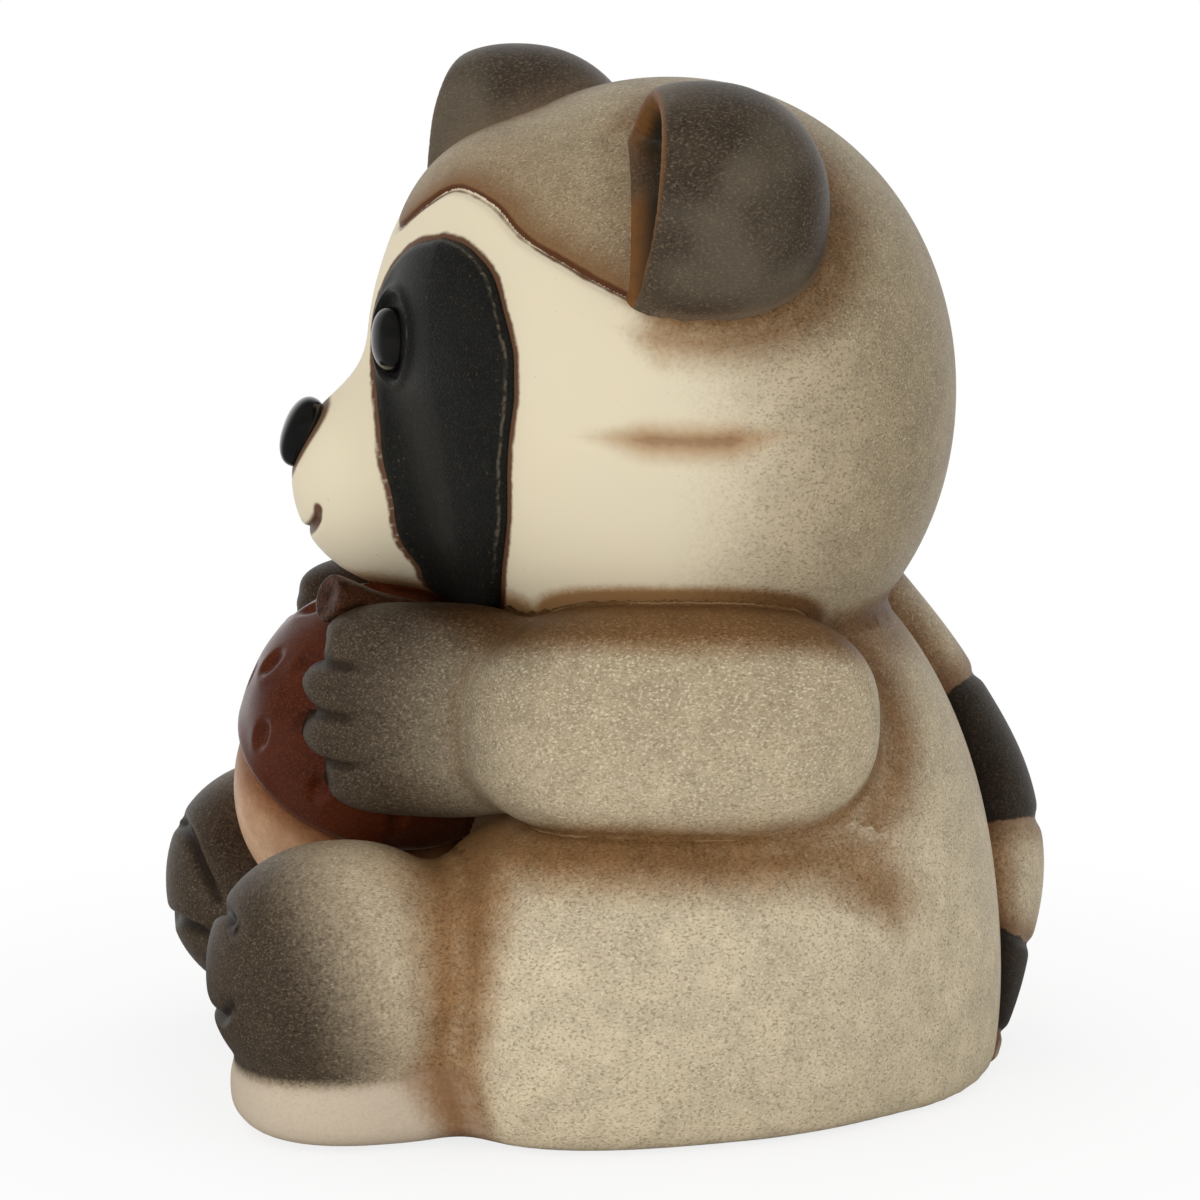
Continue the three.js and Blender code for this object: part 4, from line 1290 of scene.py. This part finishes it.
TAIL_ON_BACK = (0.4, -0.8, -0.4)
RING_GROUND = shade(52, 44, 33)
RING_PALE = shade(86, 75, 58)
RING_DARK = shade(32, 26, 19)
RING_GLOW = (-3.6, 0.2)
RING_EDGES = (-0.15, 0.15)
RING_RUN = (700, 0.8)
RING_SPRAY = (2300, 1.6)

tail_sides = [TAIL_ROOT_SIDE + (TAIL_TIP_SIDE - TAIL_ROOT_SIDE) * h / TAIL_HEIGHTS[-1] for h in TAIL_HEIGHTS]
tail_knots = [(x, TAIL_BACK - sink, h) for x, sink, h in zip(tail_sides, TAIL_SINKS, TAIL_HEIGHTS)]
tail_line = through(tail_knots, TAIL_STEPS)
tail_tip = TAIL_THICKNESS / 2
steps = np.linalg.norm(np.diff(tail_line, axis=0), axis=1)
tail_run = np.concatenate([[0], np.cumsum(steps)])
ring_marks = np.interp(RING_LIMITS, tail_line[:, 2], tail_run)
tail_length = tail_run[-1]


def along_tail(run):
    past = np.maximum(run - tail_length, 0)
    held = np.clip(run, 0, tail_length)
    place = np.column_stack([np.interp(held, tail_run, tail_line[:, i]) for i in range(3)])
    mid = np.clip(held, TAIL_ROOT_LOOK, tail_length - TAIL_LOOK)
    ahead = np.column_stack([np.interp(mid + TAIL_LOOK, tail_run, tail_line[:, i]) for i in range(3)])
    behind = np.column_stack([np.interp(mid - TAIL_LOOK, tail_run, tail_line[:, i]) for i in range(3)])
    heading = unit(ahead - behind)
    across = unit(np.cross(heading, np.array([0.0, 1.0, 0.0])))
    outward = np.cross(across, heading)
    return place + heading * past[:, None], across, outward


def nearest_run(points, stride):
    apart = np.linalg.norm(points[:, None] - tail_line[None, ::stride], axis=2)
    return tail_run[np.argmin(apart, axis=1) * stride]


def tail_gap(points):
    place, across, outward = along_tail(nearest_run(points, TAIL_COARSE_STRIDE))
    off = points - place
    wide_share = (off * across).sum(axis=1) / (TAIL_WIDTH / 2)
    share = np.hypot(wide_share, (off * outward).sum(axis=1) / (TAIL_THICKNESS / 2))
    return (share - 1) * TAIL_THICKNESS / 2


tail_glaze, tree, shader = satin("ring_glaze", roughness=0.48)
fur = fur_coat(tree)
dark = specked(tree, RING_GROUND, RING_PALE, RING_DARK)
ring_here = frayed(tree, "ring", *RING_RUN)
glow = ramp(tree, plus(tree, ring_here, wander(tree, *RING_SPRAY)), *RING_GLOW, low=0.1, high=0.75)
colour = overlay(tree, glow, fur["Color"], WASH_BROWN)
colour = overlay(tree, ramp(tree, ring_here, *RING_EDGES), colour, dark["Color"])
paint(tree, shader, washed_and_shaded_coat(tree, colour))
relief(tree, shader, fur["Relief"])

soft = bmesh.new()
bmesh.ops.create_uvsphere(soft, u_segments=TAIL_ROUND_CUTS, v_segments=TAIL_LONG_CUTS, radius=1.0)
ball = corners(soft.verts)
turn_share = np.arccos(np.clip(-ball[:, 2], -1, 1)) / math.pi
tip_arc = math.pi * tail_tip / 2
arc = turn_share * (tail_length + tip_arc)
in_tip = np.maximum(arc - tail_length, 0) / tail_tip
run = np.minimum(arc, tail_length) + tail_tip * np.sin(in_tip)
girth = np.cos(in_tip)
marks = np.concatenate([[RING_START], ring_marks, [tail_length + tail_tip]])
ring_index = np.clip(np.searchsorted(marks, run) - 1, 0, len(marks) - 2)
ring_middle = (marks[ring_index] + marks[ring_index + 1]) / 2
ring_half = (marks[ring_index + 1] - marks[ring_index]) / 2
swell = RING_SWELL * (1 - ((run - ring_middle) / ring_half) ** 2)
groove_gap = np.min(np.abs(run[:, None] - ring_marks[None]), axis=1)
sink = RING_GROOVE * np.exp(-(groove_gap / RING_GROOVE_BREADTH) ** 2)
around = np.arctan2(ball[:, 1], ball[:, 0])
middle, across, outward = along_tail(run)
carved = (swell - sink) * (girth > TIP_BARE)
wide = (TAIL_WIDTH / 2 - RING_INSET) * girth + carved
thick = (TAIL_THICKNESS / 2 - RING_INSET) * girth + carved
thin = np.where(turn_share <= 0, 0, 1)
sideways = across * (wide * thin * np.cos(around))[:, None]
move_to(soft, middle + sideways + outward * (thick * thin * np.sin(around))[:, None])
sliced = soft.verts[:] + soft.edges[:] + soft.faces[:]
bmesh.ops.bisect_plane(soft, geom=sliced, plane_co=(0, 0, 0), plane_no=(0, 0, 1), clear_inner=True)
bmesh.ops.holes_fill(soft, edges=[edge for edge in soft.edges if edge.is_boundary])
bmesh.ops.triangulate(soft, faces=[face for face in soft.faces if len(face.verts) > 4])


def ring_depth(points):
    run = nearest_run(points, TAIL_FINE_STRIDE)
    place, across, outward = along_tail(run)
    heading = np.cross(outward, across)
    fine_run = run + ((points - place) * heading).sum(axis=1)
    gaps = fine_run[:, None] - ring_marks[None]
    upper = np.minimum(gaps[:, 2], -gaps[:, 3])
    lower = np.minimum(gaps[:, 0], -gaps[:, 1])
    return np.maximum(upper, lower)


tail_fields = {"joint": far_off, "valley": far_off, "seam": everywhere, "ring": ring_depth}
fire("tail", soft, tail_glaze, tail_fields)
for carrier in ("body_shell", "head_shell"):
    gap = joint_gap(tail_gap, seat(carrier, *TAIL_ON_BACK))
    wash_joint("tail", gap)
    wash_joint(carrier, gap)

# Acorn nut: a smooth pressed egg of clay under pale peach glaze, between the feet and the belly.
# It is luted to them, and under the rim of the cap it carries a brown wash with painted shade, darkest right
# under the rim.
CAP_CENTRE = np.array([0, -21.6, 35.0])
ACORN_TURN = (-11, 33, 0)
NUT_SIZES = (24.6, 24.6, 30)
NUT_OFFSET = 7.4
CAP_DEPTH = 5
NUT_FILLET = 0.5
NUT_GROUND = shade(196, 160, 127)
NUT_PALE = shade(212, 180, 150)
NUT_DARK = shade(178, 140, 106)
RIM_WASH_AND_SHADE = shade(150, 104, 66)
RIM_SHADE_DARK = shade(92, 52, 26)
RIM_SHADE_SPREAD = (0.5, 10.0)
RIM_SHADE_LINE = (0.2, 1.2)
RIM_SPRAY = (260, 5.0)

acorn_axes = turned(ACORN_TURN)
acorn_axis = acorn_axes @ np.array([0, 0, 1.0])
nut_centre = CAP_CENTRE - NUT_OFFSET * acorn_axis


def below_rim(points):
    return -((points - CAP_CENTRE) @ acorn_axis + CAP_DEPTH)


nut_glaze, tree, shader = satin("nut_glaze", roughness=0.4)
peach = specked(tree, NUT_GROUND, NUT_PALE, NUT_DARK)
rim_gap = frayed(tree, "rim", *RIM_SPRAY)
# Brown wash and painted shade under the overhanging cap rim, with a darker painted shade line right at the
# rim.
colour = overlay(tree, fade(tree, rim_gap, *RIM_SHADE_SPREAD, 0.85), peach["Color"], RIM_WASH_AND_SHADE)
colour = overlay(tree, fade(tree, field_of(tree, "rim"), *RIM_SHADE_LINE, 0.8), colour, RIM_SHADE_DARK)
paint(tree, shader, washed_and_shaded_coat(tree, colour))
relief(tree, shader, peach["Relief"], strength=0.1)

nut_form = lump(nut_centre, NUT_SIZES, turn=ACORN_TURN)
nut_carriers = ("body_shell", "left_foot", "right_foot", "left_thigh", "right_thigh")
seats = [seat(carrier, NUT_FILLET) for carrier in nut_carriers]
attach("acorn_nut", nut_centre, nut_form, seats, ROUNDS, nut_glaze, {"rim": below_rim})

# Acorn cap: a clay cup with a flared rim under glossy red-brown glaze, luted over the nut.
# Crescent dimples are pressed into it with a round tool while the clay is soft.
CAP_RADIUS = 13.4
RIM_FLARE = 0.7
RIM_BREADTH = 2.2
DIMPLE_LENGTH = 1.5
DIMPLE_BREADTH = 0.9
DIMPLE_DEPTH = 0.75
DIMPLE_SHARPNESS = 1.5
DIMPLE_SIDE = 0.8
DIMPLE_ROWS = ((30, 5, 10), (50, 8, -33), (69, 9, -6), (90, 10, 17))
LIP_SPREAD = 1.8
LIP_SHIFT = 1.3
LIP_RISE = 0.22
RIM_EDGE = 0.8
CAP_FILLETS = {
    "body_shell": 0.5, "acorn_nut": 0.3, "left_arm": 0.5, "right_arm": 0.5,
    "left_foot": 0.4, "head_shell": 0.4,
}
CAP_GROUND = shade(70, 28, 10)
CAP_PALE = shade(104, 52, 24)
CAP_DARK = shade(48, 17, 6)
CAP_POOL = shade(86, 40, 22)
POOL_GRAIN = (190, 3.0)
POOL_EDGES = (0.35, 0.65)

cap_ball = lump(CAP_CENTRE, (2 * CAP_RADIUS,) * 3)


def cap_form(points):
    flare = RIM_FLARE * np.exp(-(below_rim(points) / RIM_BREADTH) ** 2)
    return trimmed(cap_ball(points) - flare, below_rim(points), RIM_EDGE)


def dimple_cap(soft):
    places = places_of(soft)
    spokes = unit((places - CAP_CENTRE) @ acorn_axes)
    push = np.zeros(len(spokes))
    for polar, count, first in DIMPLE_ROWS:
        for number in range(count):
            bearing = math.radians(first + 360 * number / count)
            slope = math.radians(polar)
            level = np.array([math.cos(bearing), math.sin(bearing), 0])
            outer = np.array([math.sin(bearing), -math.cos(bearing), 0])
            spot = outer * math.sin(slope) + np.array([0, 0, math.cos(slope)])
            down = np.cross(level, spot)
            off = (spokes - spot) * CAP_RADIUS
            sideways = off @ level
            lengthways = off @ down
            facing = (spokes @ spot) > DIMPLE_SIDE
            oval = (sideways / DIMPLE_BREADTH) ** 2 + (lengthways / DIMPLE_LENGTH) ** 2
            pit = np.exp(-oval ** DIMPLE_SHARPNESS)
            brim = (sideways / (LIP_SPREAD * DIMPLE_BREADTH)) ** 2
            lip = np.exp(-(brim + ((lengthways - LIP_SHIFT) / DIMPLE_LENGTH) ** 2))
            push += facing * (LIP_RISE * lip - DIMPLE_DEPTH * pit)
    move_to(soft, places + unit(places - CAP_CENTRE) * push[:, None])


cap_glaze, tree, shader = satin("cap_glaze", roughness=0.28, coat=0.08, shine=0.22)
russet = specked(tree, CAP_GROUND, CAP_PALE, CAP_DARK)
pool = ramp(tree, grain(tree, *POOL_GRAIN), *POOL_EDGES, high=0.4)
paint(tree, shader, overlay(tree, pool, russet["Color"], CAP_POOL))
relief(tree, shader, russet["Relief"], strength=0.12)

seats = [seat(carrier, fillet) for carrier, fillet in CAP_FILLETS.items()]
attach("acorn_cap", CAP_CENTRE, cap_form, seats, FINE_ROUNDS, cap_glaze, {}, dimple_cap)

# Acorn stem: a short rolled stalk of clay luted on the crown of the cap, under the chin.
# It is flared to a cut end, and the brown glaze over it is streaked like bark.
STEM_LENGTH = 10.5
STEM_NECK = 5.2
STEM_RIM = 1.6
STEM_ROOT_RADIUS = 1.7
STEM_END_RADIUS = 2.3
STEM_BASE_RADIUS = 1.9
STEM_BASE_DEPTH = 1.7
STEM_BASE_TOP = 1.2
STEM_FLARE = 0.1
STEM_EDGE_DROP = 0.5
STEM_EDGE_IN = 0.35
STEM_END_DISH = 0.25
STEM_CLIMB = 17
STEM_SWING = 20
STEM_CUTS = 64
STEM_STEPS = 8
STEM_WELD = 1e-6
STEM_GROUND = shade(66, 38, 22)
STEM_PALE = shade(108, 70, 44)
STEM_DARK = shade(38, 18, 8)
STEM_STREAK = shade(42, 20, 9)
STREAK_GRAIN = (900, 4.0, 0.7)
STREAK_STRETCH = (1, 0.12, 1)
STREAK_TURN = (17, 0, 12)
STREAK_EDGES = (0.42, 0.66)

stem_glaze, tree, shader = satin("stem_glaze", roughness=0.38)
bark = specked(tree, STEM_GROUND, STEM_PALE, STEM_DARK)
streak = ramp(tree, grain(tree, *STREAK_GRAIN, STREAK_STRETCH, STREAK_TURN), *STREAK_EDGES)
paint(tree, shader, overlay(tree, streak, bark["Color"], STEM_STREAK))
relief(tree, shader, streak, strength=0.4)

soft = bmesh.new()
profile = [
    (0, -STEM_BASE_DEPTH),
    (STEM_BASE_RADIUS, -STEM_BASE_DEPTH),
    (STEM_ROOT_RADIUS, STEM_BASE_TOP),
    (STEM_ROOT_RADIUS, STEM_NECK),
    (STEM_END_RADIUS - STEM_FLARE, STEM_LENGTH - STEM_RIM),
    (STEM_END_RADIUS, STEM_LENGTH - STEM_EDGE_DROP),
    (STEM_END_RADIUS - STEM_EDGE_IN, STEM_LENGTH),
    (0, STEM_LENGTH - STEM_END_DISH),
]
rounded = through([(radius, 0, length) for radius, length in profile], STEM_STEPS)
rounded[:, 0] = np.maximum(rounded[:, 0], 0)
chain = [soft.verts.new(Vector(place) * MM) for place in rounded]
edges = [soft.edges.new(pair) for pair in zip(chain, chain[1:])]
turning = {"axis": (0, 0, 1), "cent": (0, 0, 0), "angle": 2 * math.pi, "steps": STEM_CUTS, "use_merge": True}
bmesh.ops.spin(soft, geom=chain + edges, **turning)
bmesh.ops.remove_doubles(soft, verts=soft.verts, dist=STEM_WELD)
stem_root = CAP_CENTRE + CAP_RADIUS * acorn_axis
climb = math.radians(STEM_CLIMB)
swing = math.radians(STEM_SWING)
stem_out = np.array([math.sin(swing) * math.cos(climb), -math.cos(swing) * math.cos(climb), math.sin(climb)])
stem_turn = np.array(Vector((0, 0, 1)).rotation_difference(Vector(stem_out)).to_matrix())
move_to(soft, places_of(soft) @ stem_turn.T + stem_root)
fire("acorn_stem", soft, stem_glaze, {})

# Paws: clay palms with four short fingers, closed over the sides of the cap.
# They are luted to the arm ends; the dark glaze is airbrushed out towards the wrist.
PAW_SIZES = (13.6, 25, 20.4)
PAW_FULLNESS = 2.5
FINGER_SIZES = (9, 10, 5)
FINGER_COUNT = 4
FINGER_PROUD = 1.2
FINGER_SPACING = 4.9
FINGER_ARC = 0.05
FINGER_MELT = 1.2
FINGER_CUT = (0.7, 0.6)
FINGER_TAPER = 3.0
FINGER_END_GAP = 2
FINGER_CREASE_EDGES = (0.1, 0.9)
CREASE_BEARINGS = np.radians(np.linspace(-50, 48, 15))
PAW_WRIST_EDGES = (-8.5, 15.5)
PAW_ON_ARM = (2.5, -3.4, -3.4)
PAW_ON_CAP = 0.6
PAW_ON_NUT = 0.4
PAW_ON_BODY = 1.0
PAW_UNDER_HEAD = (0.8, 0.4, -0.6)

paw_glaze, tree, shader = satin("paw_glaze", roughness=0.45)
fur = fur_coat(tree)
dark = dark_coat(tree)
colour = overlay(tree, ramp(tree, wrist_run(tree), *PAW_WRIST_EDGES), dark["Color"], fur["Color"])
crease_share = fade(tree, field_of(tree, "crease"), *FINGER_CREASE_EDGES, 0.7)
paint(tree, shader, washed_and_shaded_coat(tree, overlay(tree, crease_share, colour, CREASE_DARK)))
relief(tree, shader, dark["Relief"])


def add_paw(word, side):
    paw_centre = np.array(PAW_PLACES[word])
    lumps = [lump(paw_centre, PAW_SIZES, PAW_FULLNESS, (0, 0, PAW_TURN))]
    for number in range(FINGER_COUNT):
        rise = (number - (FINGER_COUNT - 1) / 2) * FINGER_SPACING
        span = (PAW_SIZES[1] - FINGER_SIZES[1]) / 2 + FINGER_PROUD - FINGER_ARC * rise * rise
        knuckle = paw_centre + paw_ahead * span + np.array([0, 0, rise])
        lumps.append(lump(knuckle, FINGER_SIZES, turn=(0, 0, PAW_TURN)))

    def paw_form(points):
        nearest = lumps[0](points)
        for finger in lumps[1:]:
            nearest = melted(nearest, finger(points), FINGER_MELT)
        return nearest

    form = sided(paw_form, side)
    aside = np.array([math.cos(paw_turn), math.sin(paw_turn), 0])
    spokes = np.cos(CREASE_BEARINGS)[:, None] * paw_ahead + np.sin(CREASE_BEARINGS)[:, None] * aside
    creases = []
    for number in range(FINGER_COUNT - 1):
        middle = paw_centre + np.array([0, 0, (number - (FINGER_COUNT - 2) / 2) * FINGER_SPACING])
        creases.append(flipped(skin_along(paw_form, middle, spokes), side))

    def part_fingers(soft):
        for crease in creases:
            carve(soft, crease, *FINGER_CUT, cuts=1, taper=CREASE_TAPER)

    def finger_gap(points):
        gaps = []
        for crease in creases:
            ended = FINGER_END_GAP * (1 - end_fade(points, crease, FINGER_TAPER))
            gaps.append(skin_gap(points, crease, form) + ended)
        return np.min(gaps, axis=0)

    seats = [seat(word + "_arm", *PAW_ON_ARM), seat("acorn_cap", PAW_ON_CAP), seat("acorn_nut", PAW_ON_NUT)]
    seats += [seat("body_shell", PAW_ON_BODY), seat("head_shell", *PAW_UNDER_HEAD)]
    fields = {"wrist": behind_paw(word), "crease": finger_gap}
    centre = on_side(paw_centre, side)
    attach(word + "_paw", centre, form, seats, ROUNDS, paw_glaze, fields, part_fingers)


for word, side in SIDES.items():
    add_paw(word, side)

# Studio: a plain white paper sweep under soft even light, with the camera on the figure's left.
# The paper and the air are white to the camera and dimmer in the glazes on the camera's side,
# as in a room that is dark behind the lens; two soft panels light the face and the flank.
CAMERA_BEARING = 78
CAMERA_RISE = 10
CAMERA_DISTANCE = 0.53
CAMERA_AIM = Vector((0, 0, 0.046))
CAMERA_LENS = 163.4
SENSOR_WIDTH = 36
NEAREST_SIGHT = 0.01
FLOOR_HALF = 4.0
FLOOR_WHITE = (0.92, 0.92, 0.92, 1)
FLOOR_GREY = (0.9, 0.9, 0.9, 1)
WHITE = (1, 1, 1, 1)
FLOOR_DIM = (-0.9, -0.2, 1.0, 0.18)
AIR_DIM = (-0.95, -0.2, 1.0, 0.12)
AIR_LIGHT = 0.86
SHADOW_EDGES = (0.03, 0.12)
SHADOW_SHOWN = 0.8
PAPER_GRAIN = (40, 2.0)
KEY_PLACE = Vector((0.45, -0.72, 0.12))
KEY_SIZE = 0.6
KEY_POWER = 1.6
FILL_PLACE = Vector((0.6, -0.3, 0.05))
FILL_SIZE = 0.4
FILL_POWER = 0.9

bpy.context.scene.view_settings.view_transform = "Standard"
bearing = math.radians(CAMERA_BEARING)
rise = math.radians(CAMERA_RISE)
back = Vector((math.sin(bearing) * math.cos(rise), -math.cos(bearing) * math.cos(rise), math.sin(rise)))
lens = bpy.data.cameras.new("studio_camera")
lens.lens = CAMERA_LENS
lens.sensor_width = SENSOR_WIDTH
lens.clip_start = NEAREST_SIGHT
camera = bpy.data.objects.new("studio_camera", lens)
camera.location = CAMERA_AIM + back * CAMERA_DISTANCE
camera.rotation_euler = (-back).to_track_quat("-Z", "Y").to_euler()
bpy.context.scene.collection.objects.link(camera)
bpy.context.scene.camera = camera


def towards_camera(tree, heading, limits):
    inputs = {0: heading, 1: back}
    facing = add(tree, "ShaderNodeVectorMath", inputs, operation="DOT_PRODUCT").outputs["Value"]
    return ramp(tree, facing, *limits)


def hang_panel(name, place, size, power):
    panel = bpy.data.lights.new(name, "AREA")
    panel.size = size
    panel.energy = power
    lamp = bpy.data.objects.new(name, panel)
    lamp.location = place
    lamp.visible_glossy = False
    lamp.rotation_euler = (place - CAMERA_AIM).to_track_quat("Z", "Y").to_euler()
    bpy.context.scene.collection.objects.link(lamp)


sheet = bmesh.new()
bmesh.ops.create_grid(sheet, x_segments=1, y_segments=1, size=FLOOR_HALF)
paper = bpy.data.meshes.new("studio_floor")
sheet.to_mesh(paper)
sheet.free()
floor = bpy.data.objects.new("studio_floor", paper)
floor_finish, tree, shader = satin("floor_paper", roughness=0.9, shine=0.0)
paper_grain = ramp(tree, grain(tree, *PAPER_GRAIN), *CLOUD_EDGES)
paint(tree, shader, overlay(tree, paper_grain, FLOOR_GREY, FLOOR_WHITE))
spot = add(tree, "ShaderNodeTexCoord", {}).outputs["Object"]
span = add(tree, "ShaderNodeVectorMath", {0: spot}, operation="LENGTH").outputs["Value"]
path = add(tree, "ShaderNodeLightPath", {})
seen = combined(tree, "MAXIMUM", path.outputs["Is Camera Ray"], path.outputs["Is Glossy Ray"])
seen = combined(tree, "MAXIMUM", seen, path.outputs["Is Transmission Ray"])
way = add(tree, "ShaderNodeVectorMath", {0: spot}, operation="NORMALIZE").outputs[0]
level = blend(tree, path.outputs["Is Glossy Ray"], 1.0, towards_camera(tree, way, FLOOR_DIM))
glow = add(tree, "ShaderNodeEmission", {"Color": WHITE, "Strength": level}).outputs[0]
close = ramp(tree, span, *SHADOW_EDGES, low=SHADOW_SHOWN)
close = blend(tree, path.outputs["Is Glossy Ray"], close, 1.0)
bright = times(tree, seen, close)
lit = add(tree, "ShaderNodeMixShader", {0: bright, 1: shader.outputs[0], 2: glow}).outputs[0]
tree.links.new(lit, tree.nodes["Material Output"].inputs["Surface"])
paper.materials.append(floor_finish)
bpy.context.scene.collection.objects.link(floor)

world = bpy.data.worlds.new("studio_air")
world.use_nodes = True
bpy.context.scene.world = world
tree = world.node_tree
air = tree.nodes["Background"]
path = add(tree, "ShaderNodeLightPath", {})
seen = combined(tree, "MAXIMUM", path.outputs["Is Camera Ray"], path.outputs["Is Transmission Ray"])
heading = add(tree, "ShaderNodeTexCoord", {}).outputs["Generated"]
level = blend(tree, path.outputs["Is Glossy Ray"], AIR_LIGHT, towards_camera(tree, heading, AIR_DIM))
tree.links.new(blend(tree, seen, level, 1.0), air.inputs["Strength"])
air.inputs["Color"].default_value = WHITE

hang_panel("key_panel", KEY_PLACE, KEY_SIZE, KEY_POWER)
hang_panel("fill_panel", FILL_PLACE, FILL_SIZE, FILL_POWER)
